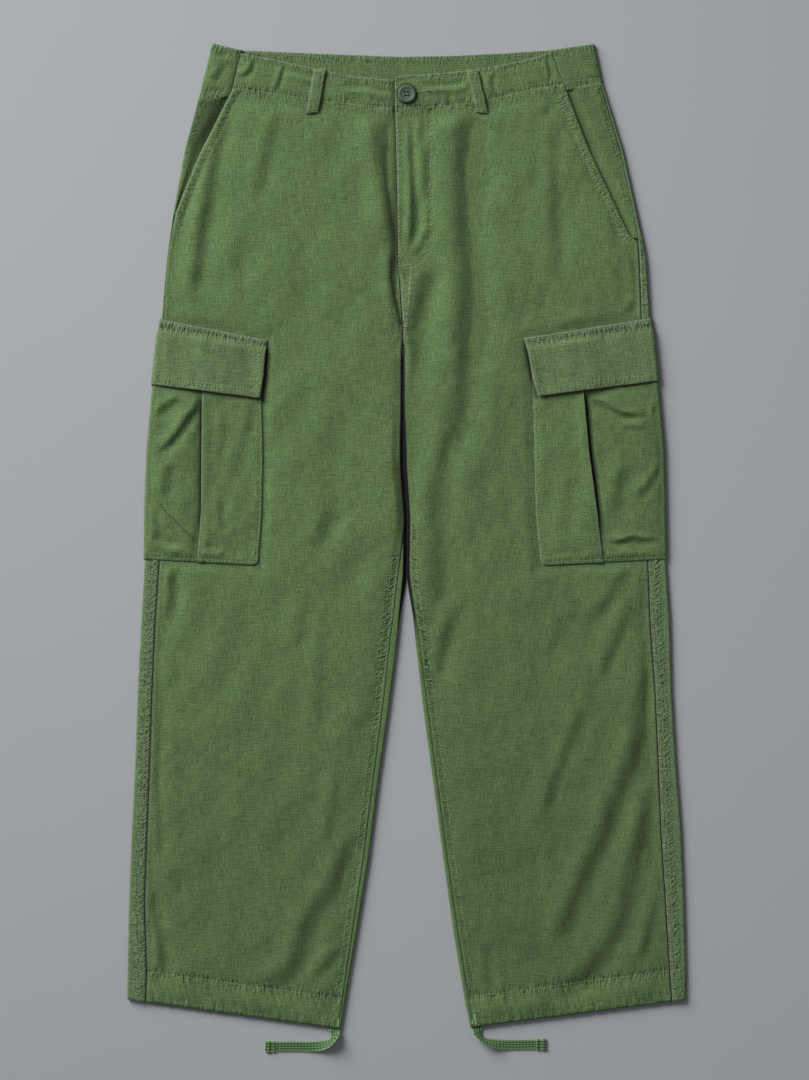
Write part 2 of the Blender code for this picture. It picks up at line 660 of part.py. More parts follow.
def pocket_pleat(side):
    """The inner half of a cargo pocket, whose pleat lies on the outer half."""
    rows = pocket_rows(side)
    toward = inward(side)
    raised = [0.0, *PLEAT_STEPS]
    columns = len(raised) + 3

    def place(i, j):
        row = rows[j]
        fold = fold_inset(side, row.out_y)
        down = row.pleat + PLEAT_TUCK + PLEAT_REST + PLEAT_RISE
        on_pleat = [row.pleat + step for step in raised]
        across = (*on_pleat, down, mix(down, row.sewn, 0.6), row.sewn - PLEAT_EDGE, row.sewn)[i]
        x = fold + toward * across
        return x, pocket_y(row, x, fold), DECK + LAYER + (OVER_PLEAT if i < len(raised) else 0.0)

    return sheet(f"cargo_pleat_{side}", columns, len(rows) - 1, place, WALL)


def pocket_flap(side):
    rows = FLAPS[side]
    toward = inward(side)
    pleat = POCKETS[side][1].pleat
    over = [pleat + step for step in FLAP_STEPS]

    def place(i, j):
        row = rows[j]
        fold = fold_inset(side, row.out_y)
        radius = FOLD_R + GAP + FLAP_WALL + LAYER * row.raised
        low = (FLAP_ROUND - 0.5 * math.pi) * radius
        across = (0.0, *over, row.width - FLAP_EDGE, row.width)
        column = max(0, i - POCKET_ARC)
        along = across[column] - FOLD_R if column else low * (1.0 - i / POCKET_ARC)
        x, z = round_fold(fold, toward, along, radius)
        share = abs(x - fold) / row.width
        lift = OVER_PLEAT * FLAP_LIFTS[column] * row.raised
        return x, mix(row.out_y, row.in_y, min(1.0, share)), z + lift

    return sheet(f"cargo_flap_{side}", POCKET_ARC + len(FLAP_LIFTS) - 1, len(rows) - 1, place, FLAP_WALL)


# ---------------------------------------------------------------- waistband


def front_band(side):
    """The front band's lower edge follows the front panel's top edge, point by point."""
    top_edge = [panel_place(side, i, 0)[0] for i in range(2 * TURN + ACROSS + 1)]
    rows = 2

    def place(i, j):
        line = band_line(side, top_edge[i])
        share = j / rows
        x = mix(line.top_x, top_edge[i], share)
        return x, mix(line.top_y, line.low_y, share), DECK + BAND_LIFT + lap_height(side, x, line.low_y)

    return sheet(f"waistband_front_{side}", 2 * TURN + ACROSS, rows, place, BAND_WALL)


def band_end(side, share, row):
    """One point of the back band's turned-up end: share runs from its front edge to the underside."""
    end = BACK_BAND_ENDS[side]
    toward = inward(side)
    height = BAND_HEIGHTS[row]
    edge_x, edge_y = (end.edge_top, end.edge_side, end.edge_foot)[row]
    fold_x, fold_y = (mix(top, low, height) for top, low in zip(end.fold_top, end.fold_low))
    start = toward * (edge_x - fold_x) - FOLD_R - GAP
    along = mix(start, 0.0, 2.0 * share) if share < 0.5 else -(2.0 * share - 1.0) * math.pi * FOLD_R
    x, z = round_fold(fold_x, toward, along)
    slope = min(1.0, max(0.0, (x - fold_x) / (edge_x - fold_x))) if share < 0.5 else 0.0
    return x, mix(fold_y, edge_y, slope), z


def back_band():
    """The back waistband: it lies on the table and both its ends turn up round the sides."""
    end_cells = 2 * BAND_ARC
    middle = len(BACK_BAND)
    columns = 2 * end_cells + middle + 1

    def place(i, j):
        if i <= end_cells:
            return band_end("right", i / end_cells, j)
        if i > end_cells + middle:
            return band_end("left", (columns - i) / end_cells, j)
        line = BACK_BAND[i - end_cells - 1]
        height = BAND_HEIGHTS[j]
        return mix(line.top_x, line.low_x, height), mix(line.top_y, line.low_y, height), 0.0

    return sheet("waistband_back", columns, len(BAND_HEIGHTS) - 1, place, WALL, CLOTH_INSIDE)


def belt_loop(side):
    line = LOOPS[side]

    def place(i, j):
        share = j / LOOP_CELLS
        x = mix(line.top_x, line.low_x, share) + LOOP_WIDTH * (i / 2 - 0.5)
        y = mix(line.top_y, line.low_y, share)
        arch = LOOP_ARCH * math.sin(math.pi * share)
        return x, y, DECK + BAND_LIFT + GAP + LOOP_WALL + arch

    return sheet(f"belt_loop_{side}", 2, LOOP_CELLS, place, LOOP_WALL)


# ---------------------------------------------------------------- button and drawcords


def button():
    """A turned four-hole button: half of its profile, spun round its own axis."""
    bottom = DECK + BAND_LIFT + LAP_LIFT + GAP
    top = bottom + BUTTON_THICK
    profile = (
        (0.0, top - BUTTON_DISH),
        (BUTTON_R - BUTTON_RIM - BUTTON_SLOPE, top - BUTTON_DISH),
        (BUTTON_R - BUTTON_RIM, top - 0.2 * BUTTON_DISH),
        (BUTTON_R - BUTTON_EDGE, top),
        (BUTTON_R, top - BUTTON_EDGE),
        (BUTTON_R - 0.5 * BUTTON_EDGE, bottom + 0.5 * BUTTON_EDGE),
        (BUTTON_R - BUTTON_SHANK, bottom),
        (0.0, bottom),
    )
    mesh = bpy.data.meshes.new("button")
    bm = bmesh.new()
    verts = [bm.verts.new((r * MM, 0.0, z * MM)) for r, z in profile]
    edges = [bm.edges.new(pair) for pair in zip(verts, verts[1:])]
    bmesh.ops.spin(
        bm, geom=verts + edges, cent=(0, 0, 0), axis=(0, 0, 1), angle=2 * math.pi, steps=24, use_merge=True
    )
    bmesh.ops.remove_doubles(bm, verts=bm.verts, dist=1e-6)
    bmesh.ops.recalc_face_normals(bm, faces=bm.faces)
    bm.to_mesh(mesh)
    bm.free()
    obj = link("button", mesh, HORN, 0.45)
    obj.location = (BUTTON_AT[0] * MM, BUTTON_AT[1] * MM, 0.0)
    cutter = bpy.data.meshes.new("button_hole_cutter")
    bm = bmesh.new()
    for corner in range(4):
        angle = math.pi * (0.25 + 0.5 * corner)
        made = bmesh.ops.create_cone(
            bm,
            cap_ends=True,
            segments=8,
            radius1=BUTTON_HOLE_R * MM,
            radius2=BUTTON_HOLE_R * MM,
            depth=4 * BUTTON_THICK * MM,
        )
        at = (
            (BUTTON_AT[0] + BUTTON_HOLE_SPREAD * math.cos(angle)) * MM,
            (BUTTON_AT[1] + BUTTON_HOLE_SPREAD * math.sin(angle)) * MM,
            bottom * MM,
        )
        bmesh.ops.translate(bm, verts=made["verts"], vec=at)
    bm.to_mesh(cutter)
    bm.free()
    holes = bpy.data.objects.new("button_hole_cutter", cutter)
    CUTTERS.objects.link(holes)
    holes.hide_render = True
    holes.display_type = "WIRE"
    cut = obj.modifiers.new("Holes", "BOOLEAN")
    cut.operation = "DIFFERENCE"
    cut.object = holes
    return obj


def between(t, a, b, c, d):
    """A number on the smooth curve from b to c, with a before them and d after."""
    bend = 2 * a - 5 * b + 4 * c - d
    twist = 3 * b - a - 3 * c + d
    return 0.5 * (2 * b + (c - a) * t + bend * t**2 + twist * t**3)


def smooth_route(points, steps):
    """Points of a smooth curve through a cord's own points."""
    padded = [points[0], *points, points[-1]]
    result = []
    for stretch in zip(padded, padded[1:], padded[2:], padded[3:]):
        for k in range(steps):
            result.append(CordPoint(*(between(k / steps, *numbers) for numbers in zip(*stretch))))
    return [*result, points[-1]]


def drawcord(side):
    """A flat tape: a curve with an extruded round bevel, rolled flat by its tilt."""
    route = smooth_route(CORDS[side], CORD_STEPS)
    name = f"drawcord_{side}"
    curve = bpy.data.curves.new(name, "CURVE")
    curve.dimensions = "3D"
    curve.twist_mode = "Z_UP"
    curve.bevel_depth = 0.5 * CORD_THICK * MM
    curve.bevel_resolution = 2
    curve.extrude = 0.5 * (CORD_WIDTH - CORD_THICK) * MM
    curve.use_fill_caps = True
    spline = curve.splines.new("POLY")
    spline.points.add(len(route) - 1)
    for point, step in zip(spline.points, route):
        point.co = (step.x * MM, step.y * MM, step.z * MM, 1.0)
        point.tilt = math.radians(90.0 + step.roll)
    return link(name, curve, TAPE)


def drawcord_end(side):
    """The tape's end, folded back on itself and stitched."""
    last = CORDS[side][-1]
    before = CORDS[side][-2]
    toward = 1.0 if last.x > before.x else -1.0
    mesh = bpy.data.meshes.new(f"drawcord_end_{side}")
    bm = bmesh.new()
    bmesh.ops.create_cube(bm, size=1.0)
    size = (CORD_END_LENGTH * MM, CORD_END_WIDTH * MM, CORD_END_THICK * MM)
    bmesh.ops.scale(bm, verts=bm.verts, vec=size)
    at = (last.x + toward * (0.5 * CORD_END_LENGTH + GAP), last.y, 0.5 * CORD_END_THICK + CORD_END_LIFT)
    bmesh.ops.translate(bm, verts=bm.verts, vec=[MM * value for value in at])
    bm.to_mesh(mesh)
    bm.free()
    obj = link(f"drawcord_end_{side}", mesh, TAPE)
    bevel = obj.modifiers.new("Soft edges", "BEVEL")
    bevel.width = CORD_END_ROUND * MM
    bevel.segments = 2
    return obj


# ---------------------------------------------------------------- the garment

for old in list(bpy.data.objects):
    bpy.data.objects.remove(old, do_unlink=True)

GARMENT = bpy.data.collections.new("cargo_trousers")
CUTTERS = bpy.data.collections.new("cutters")
bpy.context.scene.collection.children.link(GARMENT)
bpy.context.scene.collection.children.link(CUTTERS)

for wearer_side in ("right", "left"):
    back_panel(wearer_side)
    front_panel(wearer_side)
    pocket_facing(wearer_side)
    pocket_outer(wearer_side)
    pocket_pleat(wearer_side)
    pocket_flap(wearer_side)
    front_band(wearer_side)
    belt_loop(wearer_side)
    drawcord(wearer_side)
    drawcord_end(wearer_side)
back_band()
button()
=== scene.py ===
"""Cargo trousers laid flat: cloth, sewing, button and drawcords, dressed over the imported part.

Tables and routes are in millimetres, as a pattern cutter writes them, and meshes are in metres. +X is the
wearer's left, +Y runs from the hems to the waist and +Z is up from the table.
"""

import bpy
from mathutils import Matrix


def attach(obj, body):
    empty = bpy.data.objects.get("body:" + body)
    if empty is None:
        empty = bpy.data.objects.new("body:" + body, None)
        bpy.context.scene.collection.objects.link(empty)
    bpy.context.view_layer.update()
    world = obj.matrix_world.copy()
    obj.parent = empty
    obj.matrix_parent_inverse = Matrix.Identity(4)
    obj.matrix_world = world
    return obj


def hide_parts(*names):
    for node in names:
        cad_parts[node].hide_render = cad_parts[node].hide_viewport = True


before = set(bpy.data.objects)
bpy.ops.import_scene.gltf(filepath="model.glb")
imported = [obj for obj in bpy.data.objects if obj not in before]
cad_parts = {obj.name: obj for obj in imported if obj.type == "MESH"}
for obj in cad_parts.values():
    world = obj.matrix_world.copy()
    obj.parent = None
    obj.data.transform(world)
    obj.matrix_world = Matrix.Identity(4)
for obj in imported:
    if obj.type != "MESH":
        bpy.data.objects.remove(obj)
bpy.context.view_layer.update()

import math
from collections import namedtuple
from types import SimpleNamespace

import bmesh
import bpy
import numpy as np
from bpy.props import FloatProperty, FloatVectorProperty, PointerProperty
from mathutils import Matrix, Vector
from mathutils.bvhtree import BVHTree

bl_info = {
    "name": "Cargo Trousers",
    "version": (1, 0, 0),
    "blender": (4, 5, 0),
    "location": "3D View > Sidebar > Trousers",
    "description": "Dresses a pair of cargo trousers that lie flat: cloth, sewing, button and drawcords",
    "category": "Add Mesh",
}

MM = 0.001
MM_UP = 1000  # metres of a setting to millimetres
SIDES = ("right", "left")
TOWARD = {"right": 1, "left": -1}  # the way along X from a side to the garment's middle


def table(kind, *rows):
    """Rows of a table with the names of their columns."""
    return tuple(kind(*row) for row in rows)


# ---------------------------------------------------------------- sizes shared with the part

WALL = 1.2
BAND_WALL = 1.6
FLAP_WALL = 1.4
LOOP_WALL = 1.5
GAP = 0.35
FOLD_R = 2.1
DECK = 2 * FOLD_R
LAYER = 1.5
SIDE_PLACE = FOLD_R * (0.25 - 0.5 * math.pi)  # where a seam lies on a fold's side
UNDER = -math.pi * FOLD_R  # where the cloth has turned round a fold to the underside

# One row per line across a leg: the outer fold, its seam and the hand pocket's opening measured in from
# it, and the inner fold with its seam.
Line = namedtuple("Line", "out_y out_fold out_lap opening in_y in_fold in_lap")
WAISTS = {
    "right": {
        "front": Line(493, -225.5, 0.1, 34, 466.5, -12.5, 0),
        "back": Line(476.5, -229.5, 0.1, 0, 487, -12, 0),
        "facing": Line(476.5, -229.5, 0.1, 33, 513, -12, 0),
    },
    "left": {
        "front": Line(499, 215.5, 2.2, 42, 466.5, -12.5, 0),
        "back": Line(498, 215.5, 2.2, 0, 487, -12, 0),
        "facing": Line(498, 215.5, 2.2, 40, 445, -12, 0),
    },
}
LEGS = {
    "right": table(
        Line,
        (425, -243.5, 0.1, 17.5, 407.5, -11, 0),
        (356.5, -256, 0.1, 2.5, 343.5, -9.84, 0),
        (308.5, -263, 0.1, 0.1, 297.5, -9, 0),
        (239, -269.5, 2.2, 2.2, 220.5, -4, 0),
        (226, -271.2, 3.8, 3.8, 206, -5, 0.1),
        (212, -273, 5, 5, 193, -5, 0.1),
        (161, -278.5, 10.5, 10.5, 146.5, -5, 0.1),
        (95, -284.5, 15.5, 15.5, 81.5, -6.5, 0.1),
        (29, -287, 17, 17, 18, -1.5, 0.1),
        (-26, -287.5, 16, 16, -40.5, -2.5, 6),
        (-92, -291.5, 15.5, 15.5, -112, -9.5, 7.5),
        (-169, -295.5, 16, 16, -191, -19.5, 6.5),
        (-246, -298, 16, 16, -271.5, -31, 5.5),
        (-323, -302, 17, 17, -351.5, -41, 5.5),
        (-400, -305, 17, 17, -432, -54, 4.5),
        (-475, -306.5, 21, 21, -509, -67, 3),
        (-509, -307, 20.5, 20.5, -541.5, -72, 3),
    ),
    "left": table(
        Line,
        (425, 238, 3, 36, 407.5, -11, 0),
        (330.5, 259, 4.5, 13.5, 319.5, -9.4, 0),
        (323.5, 260.5, 5.5, 5.5, 312.5, -9.27, 0),
        (304, 264, 8, 8, 297.5, -9, 0),
        (240, 268, 9.5, 9.5, 220.5, -4, 0),
        (227, 269.6, 10.4, 10.4, 206, -3, 0.1),
        (213, 271.2, 11.5, 11.5, 193, -3, 0.1),
        (167.5, 276, 15.5, 15.5, 146.5, -3, 0.1),
        (95, 282.5, 20, 20, 81.5, 0, 0.1),
        (29, 284, 20, 20, 18, 4, 0.1),
        (-26, 285, 19.5, 19.5, -40.5, 3, 0.1),
        (-92, 289.5, 21.5, 21.5, -112, 9.5, 3.5),
        (-169, 291.5, 18, 18, -191, 18.5, 4.5),
        (-246, 296, 19, 19, -271.5, 29.5, 4),
        (-323, 302, 22, 22, -351.5, 40, 4),
        (-400, 305, 20, 20, -432, 51, 4.5),
        (-475, 307, 17.5, 17.5, -507, 63.5, 4),
        (-509.5, 307, 15, 15, -540, 70, 3),
    ),
}
HEM_STITCH = -475  # height of the casing's stitch row at the outer fold
FORK_TOP = 216  # below this the legs part
FORK_DEPTH = 18

# Cargo pockets and flaps, measured in from the leg's outer fold.
PocketLine = namedtuple("PocketLine", "out_y in_y pleat sewn")
POCKETS = {
    "right": table(
        PocketLine,
        (206, 196, 52, 117),
        (161, 152, 54, 119.5),
        (95, 91, 59.5, 127),
        (29, 26, 61.5, 128.5),
        (-25.5, -32, 57.5, 124.5),
    ),
    "left": table(
        PocketLine,
        (208, 198, 80, 135),
        (167.5, 155, 81.5, 137),
        (95, 91, 82, 142),
        (29, 26, 74.5, 142),
        (-25.5, -32.5, 69, 137.5),
    ),
}
FlapLine = namedtuple("FlapLine", "out_y in_y width")
FLAPS = {
    "right": table(
        FlapLine,
        (239, 215.5, 117),
        (217, 199.5, 117.5),
        (192, 176, 118.5),
        (166.5, 151.5, 117),
    ),
    "left": table(
        FlapLine,
        (240, 218, 139),
        (219, 201, 137),
        (195, 178, 135.5),
        (170.5, 153.5, 131.5),
    ),
}
FLAP_SLANT = 18  # how far the flap's inner side hangs below its outer side
POCKET_ROUND = -0.33  # radians below level where a pocket and a flap end on the fold's side
FLAP_ROUND = -0.31
PLEAT_TUCK = 15
PLEAT_FOLD_R = 0.8  # the cloth turns back on itself at the pleat
PLEAT_THICK = 0.7
PLEAT_BACK = 7  # how far it runs back under it

# Waistband: each row is one line from its top edge to its lower edge.
BandLine = namedtuple("BandLine", "low_x low_y top_x top_y")
FRONT_BANDS = {
    "right": table(
        BandLine,
        (-192, 489, -182, 530.5),
        (-165, 486, -160, 526.5),
        (-132, 480.5, -128, 520),
        (-101, 475.5, -95, 513),
        (-64, 472.5, -60, 505.5),
        (-12.8, 466.8, -13, 501),
    ),
    "left": table(
        BandLine,
        (-12.2, 466.8, -12.4, 505),
        (35, 469, 32, 508.5),
        (76, 473, 70, 512),
        (108, 481, 103, 517.5),
        (140, 488, 132, 523.5),
        (173, 494, 159, 531.5),
    ),
}
BACK_BAND = table(
    BandLine,
    (-190, 478.8, -183, 534.5),
    (-120, 482.5, -120, 531.5),
    (-60, 485, -60, 529),
    (-7, 487.7, -7, 527),
    (50, 490.5, 50, 528),
    (110, 493.5, 110, 531),
    (175, 496.8, 169, 535.5),
)
# The back band's turned-up ends: the edge beside the front band and the fold, from top to foot.
BandEnd = namedtuple("BandEnd", "edge fold")
BAND_HEIGHTS = (0, 0.87, 1)
BAND_ENDS = {
    "right": BandEnd(((-182.5, 534.3), (-192.5, 489), (-195.4, 482.7)), ((-213.5, 541.5), (-229.5, 477))),
    "left": BandEnd(((159.6, 534.3), (173.8, 494.2), (176.3, 489)), ((206.5, 541), (215.5, 498.5))),
}
BAND_LIFT = 0.45
LAP_LIFT = 2  # the left front lies over the right one at the fly
LAP_WIDTH = 40
LAP_FOOT = 293
LOOP_WIDTH = 13.5
LOOPS = {
    "right": BandLine(-103.5, 464.5, -95, 513.5),
    "left": BandLine(83, 464.5, 72, 512.5),
}
BUTTON_AT = (0.5, 485.5)
BUTTON_BASE = 6

# Drawcords: points along each tape, with the roll that stands it on its edge.
CordPoint = namedtuple("CordPoint", "x y z roll")
CORDS = {
    "right": table(
        CordPoint,
        (-79, -524, 2.1, 0),
        (-79, -536, 2.1, 0),
        (-79, -541.5, 2.1, 0),
        (-78.9, -543.5, 2.3, 4),
        (-78.7, -548, 3.8, 35),
        (-81.5, -554.3, 5.1, 62),
        (-88.5, -558.6, 4, 40),
        (-98, -560.6, 1.9, 12),
        (-110, -561.2, 0.9, 1),
        (-126, -561, 0.8, 0),
        (-143.6, -561.3, 0.8, 0),
    ),
    "left": table(
        CordPoint,
        (77.5, -523, 2.1, 0),
        (77.4, -535, 2.1, 0),
        (77.4, -540, 2.1, 0),
        (77.5, -542, 2.3, -4),
        (78.4, -546.7, 3.8, -35),
        (83.4, -552.8, 5.1, -62),
        (92, -556.6, 4, -40),
        (103, -558.6, 1.9, -12),
        (114, -559.2, 0.9, -1),
        (128, -559.1, 0.8, 0),
        (141.9, -558.9, 0.8, 0),
    ),
}
CORD_EXIT = 2  # the route's point under the hem's edge

# ---------------------------------------------------------------- creases

# Each crease falls away from the light: its route down the garment, half the width of its shaded slope
# and how far the cloth drops over it.
Crease = namedtuple("Crease", "name width drop route")
CREASES = {
    "front_right": table(
        Crease,
        ("hip", 8.2, 2.1, (
            (-195, 474), (-203, 447), (-210, 425), (-215, 392), (-219, 370), (-224, 346), (-228, 309),
            (-232, 280), (-233, 254),
        )),
        ("belly_side", 8.2, 1.2, (
            (-138, 477), (-144, 458), (-150, 436), (-156, 408), (-161, 381), (-164, 353),
        )),
        ("belly_low", 6.6, 0.6, ((-188, 326), (-185, 287), (-182, 251))),
        ("flap_corner", 12.4, 1, ((-119, 353), (-122, 304), (-128, 262), (-138, 236), (-150, 214))),
        ("beside_fly", 10.5, 3, (
            (-37, 473), (-30, 456), (-28, 425), (-25, 397), (-20, 370), (-14, 342), (-9, 321),
        )),
        ("fork", 8, 2.4, ((-9, 326), (-12, 308), (-14, 284), (-12, 262), (-6, 240), (-3, 221))),
        ("below_loop", 6.6, 0.6, ((-111, 461), (-103, 452), (-94, 434))),
        ("thigh_spot", 9, 1.3, ((-78, 34), (-86, 18), (-92, 4), (-94, -12))),
        ("thigh_soft", 19.2, 0.9, ((-62, 194), (-75, 128), (-93, 62), (-97, 7))),
        ("under_pocket", 7, 2, ((-257, -33), (-258, -50), (-259, -72), (-262, -97))),
        ("knee_side", 7.5, 0.8, ((-259, -120), (-256, -147), (-255, -171))),
        ("knee", 9.9, 0.9, ((-192, -264), (-211, -253), (-227, -241), (-244, -225), (-262, -204))),
        ("seam_calf", 5.8, 1.2, ((-274, -180), (-276, -246), (-277, -290), (-272, -325), (-270, -356))),
        ("seam_ankle", 6.6, 1.8, ((-283, -358), (-280, -400), (-273, -433), (-268, -468), (-265, -484))),
        ("ankle_side", 9.9, 0.6, ((-265, -417), (-244, -442), (-219, -468))),
        ("calf_a", 8.2, 0.6, ((-113, -59), (-114, -92), (-116, -125))),
        ("calf_b", 8.2, 0.7, ((-92, -81), (-94, -125), (-97, -180), (-101, -224))),
        ("calf_c", 8.2, 1, ((-73, -248), (-80, -285), (-85, -321), (-90, -358))),
        ("ankle", 11.5, 2.4, (
            (-60, -319), (-68, -347), (-76, -375), (-90, -396), (-102, -413), (-112, -433), (-119, -455),
            (-128, -475), (-150, -489), (-174, -494),
        )),
        ("ankle_in", 6.6, 1.1, ((-67, -451), (-82, -462), (-97, -479), (-114, -497))),
        ("inseam_soft", 13.8, 1, ((-16, -26), (-23, -92), (-29, -158), (-38, -213))),
    ),
    "front_left": table(
        Crease,
        ("thigh", 15, 4.1, (
            (75, 471), (65, 456), (62, 425), (61, 381), (62, 326), (64, 276), (64, 238),
            (62, 199), (60, 170),
        )),
        ("thigh_low", 12.3, 2.3, (
            (63, 208), (59, 159), (53, 123), (45, 104), (37, 82), (31, 51), (30, 12),
            (31, -28), (32, -70), (34, -98),
        )),
        ("fork", 10.5, 2.8, (
            (28, 304), (24, 288), (18, 271), (13, 250), (8, 230), (7, 205), (6, 178), (8, 144),
        )),
        ("fly_low", 4.6, 1.9, ((6, 394), (9, 364), (9, 341), (3, 315))),
        ("fly_high", 4.9, 1, ((14, 483), (17, 462), (14, 427))),
        ("fly_mid", 4.9, 1, ((19, 429), (21, 397), (19, 364))),
        ("fly_line", 3.4, 1.2, ((5, 466), (4, 430), (6, 394), (5, 350), (4, 312))),
        ("fly_foot", 4.2, 1, ((26, 344), (21, 330), (14, 316), (9, 306))),
        ("beside_band", 5.8, 0.8, ((101, 489), (90, 475), (76, 467))),
        ("belly", 8.2, 1, ((166, 467), (162, 425), (162, 370), (163, 315), (160, 271))),
        ("belly_fold", 5.8, 0.5, ((144, 276), (147, 249), (148, 222))),
        ("belly_small", 8.2, 0.5, ((140, 408), (134, 392), (124, 374))),
        ("band_small", 4.9, 0.8, ((157, 491), (155, 475), (148, 458))),
        ("pocket_foot", 6.6, 1, ((226, 361), (229, 339), (233, 321))),
        ("seam_hip", 5.8, 1.2, ((246, 317), (252, 293), (254, 269), (249, 250), (237, 240))),
        ("beside_flap", 12.4, 0.8, ((116, 218), (106, 194), (100, 166))),
        ("thigh_soft", 13.2, 1, ((107, 148), (100, 108), (87, 79), (74, 53), (63, 31))),
        ("knee_in", 8.2, 1.7, ((70, -64), (54, -81), (46, -99), (40, -123), (36, -145), (34, -169))),
        ("knee_a", 7.5, 1.2, ((248, -24), (237, -43), (225, -64), (211, -83), (195, -103))),
        ("knee_b", 7.5, 1.2, ((243, -75), (235, -101), (225, -125), (216, -149), (211, -169))),
        ("knee_c", 7.5, 0.7, ((171, -81), (167, -105), (164, -125))),
        ("calf_in", 8.2, 1.1, (
            (207, -180), (193, -194), (184, -215), (173, -242), (162, -270), (153, -301), (144, -325),
        )),
        ("calf", 11, 2.3, (
            (269, -114), (266, -154), (261, -185), (255, -222), (246, -251), (235, -279), (225, -306),
            (215, -332), (202, -358), (190, -385), (181, -406), (172, -429), (157, -440),
        )),
        ("ankle", 11, 2.2, (
            (272, -257), (262, -307), (252, -351), (244, -389), (235, -424), (219, -451), (203, -474),
            (188, -487), (164, -494),
        )),
        ("ankle_side", 6.6, 1, ((278, -389), (270, -420), (262, -449), (250, -473))),
        ("hem_in", 5.8, 0.9, ((85, -444), (89, -475), (91, -501))),
        ("shin_soft", 11.6, 0.6, ((125, -417), (107, -440), (90, -464))),
        ("shin_a", 13.2, 0.6, ((87, -246), (79, -290), (70, -345))),
    ),
    "pocket_right": table(
        Crease,
        ("diagonal", 5, 2.2, ((-220, 152), (-230, 141), (-241, 128), (-251, 113), (-264, 99), (-280, 90))),
        ("high", 5.2, 1.5, ((-247, 154), (-262, 144), (-277, 131))),
        ("low", 6.9, 1.6, ((-258, 82), (-263, 64), (-268, 40))),
        ("foot", 4.2, 1.5, ((-280, -2), (-262, -10), (-243, -13))),
        ("outer", 4.9, 0.6, ((-273, 40), (-276, 18), (-271, -2))),
    ),
    "pleat_right": table(
        Crease,
        ("high", 6.3, 0.9, ((-169, 152), (-172, 133), (-175, 108))),
        ("mid", 7.5, 0.6, ((-180, 108), (-185, 82), (-194, 51))),
        ("low", 5.2, 0.6, ((-203, 49), (-204, 23), (-203, -4))),
        ("foot", 4.3, 1.1, ((-223, -12), (-213, -16), (-199, -16))),
        ("side", 4.9, 0.5, ((-203, 145), (-201, 117), (-204, 84))),
    ),
    "pocket_left": table(
        Crease,
        ("high", 3.6, 2.4, ((264, 131), (250, 132), (237, 134), (226, 140), (213, 147), (199, 150))),
        ("under", 4.2, 1, ((262, 117), (249, 120), (236, 121))),
        ("mid", 8.2, 1.5, ((243, 82), (233, 55), (227, 16))),
        ("outer", 5, 1.2, ((283, 84), (272, 66), (262, 52), (250, 44))),
        ("foot", 3.2, 1.6, ((283, -4), (262, -4), (247, -2), (232, -6), (214, -3))),
        ("top", 5, 1.4, ((285, 152), (278, 142), (268, 134))),
        ("cross", 6.6, 0.6, ((219, 117), (239, 97), (257, 89))),
        ("foot_low", 4.3, 0.7, ((226, -16), (248, -15), (268, -17))),
    ),
    "pleat_left": table(
        Crease,
        ("soft", 8.2, 0.5, ((169, 145), (175, 117), (167, 73))),
        ("low", 6.6, 0.5, ((184, 73), (175, 29), (169, -4))),
        ("foot", 3.9, 0.6, ((160, -22), (180, -22), (202, -21))),
    ),
    "band_right": table(
        Crease,
        ("end", 3, 1.2, ((-168, 530), (-170, 517), (-176, 508), (-187, 507))),
        ("join", 2.6, 1, ((-134, 522), (-139, 504), (-144, 488))),
        ("mid", 3, 1.2, ((-136, 509), (-117, 506), (-100, 499))),
        ("button", 3.2, 1.4, ((-73, 492), (-42, 490), (-16, 482))),
    ),
    "band_left": table(
        Crease,
        ("button", 3.2, 1.3, ((14, 492), (36, 493), (58, 494), (67, 500))),
        ("middle", 2.6, 0.6, ((44, 487), (45, 479), (45, 471))),
        ("end", 2.6, 1, ((152, 527), (156, 512), (158, 500))),
        ("loop", 3, 0.9, ((96, 512), (93, 498), (98, 484))),
    ),
    "back_band": table(
        Crease,
        ("corner", 2.8, 1.3, ((-212, 526), (-203, 526), (-193, 524))),
        ("side", 3, 1.6, ((-201, 520), (-208, 508), (-213, 499))),
        ("side_low", 2.6, 1.2, ((-222, 487), (-212, 486), (-200, 483))),
        ("left_corner", 2.8, 0.7, ((193, 521), (199, 522), (204, 520))),
        ("left_low", 2.6, 0.6, ((177, 489), (182, 488), (190, 491))),
        ("inside", 3.5, 0.6, ((10, 520), (30, 519), (52, 521))),
        ("inside_right", 3.5, 0.6, ((-90, 518), (-60, 515), (-30, 517))),
    ),
}
# The hollow beside the fly that runs down into the fork.
FORK_HOLLOW = np.array([
    (-26, 425), (-23.5, 397), (-19.5, 370), (-16, 342), (-15.5, 318), (-17, 302), (-17, 287),
    (-14, 265), (-9.5, 247), (-6, 231), (-4.2, 212),
])
# Sharp old folds across the outer halves of the pockets, and how dark the painted shade along each one is.
POCKET_LINES = {
    "right": (
        (0.75, ((-226, -10), (-240, 3), (-254, 17), (-275, 38))),
        (0.6, ((-225, 146), (-242, 126), (-252, 111), (-265, 98), (-277, 90))),
        (0.35, ((-243, 156), (-262, 148), (-276, 135))),
    ),
    "left": (
        (0.55, ((203, 148), (224, 139), (258, 133))),
        (0.3, ((268, 62), (250, 47), (226, 32))),
        (0.35, ((232, -4), (246, -8), (262, -4))),
    ),
}
# The felled seam's edge below the fly, which narrows to the fork.
STRIP_EDGE = np.array([(5.5, 297), (4.6, 285), (3, 262), (0.6, 236), (-2.4, 219)])
# Length of the small uneven waves, and their height where 1 is the Ripple setting.
RIPPLES = ((85, 1.2), (46, 0.9), (24, 0.5), (13, 0.2))
WAVES = 6
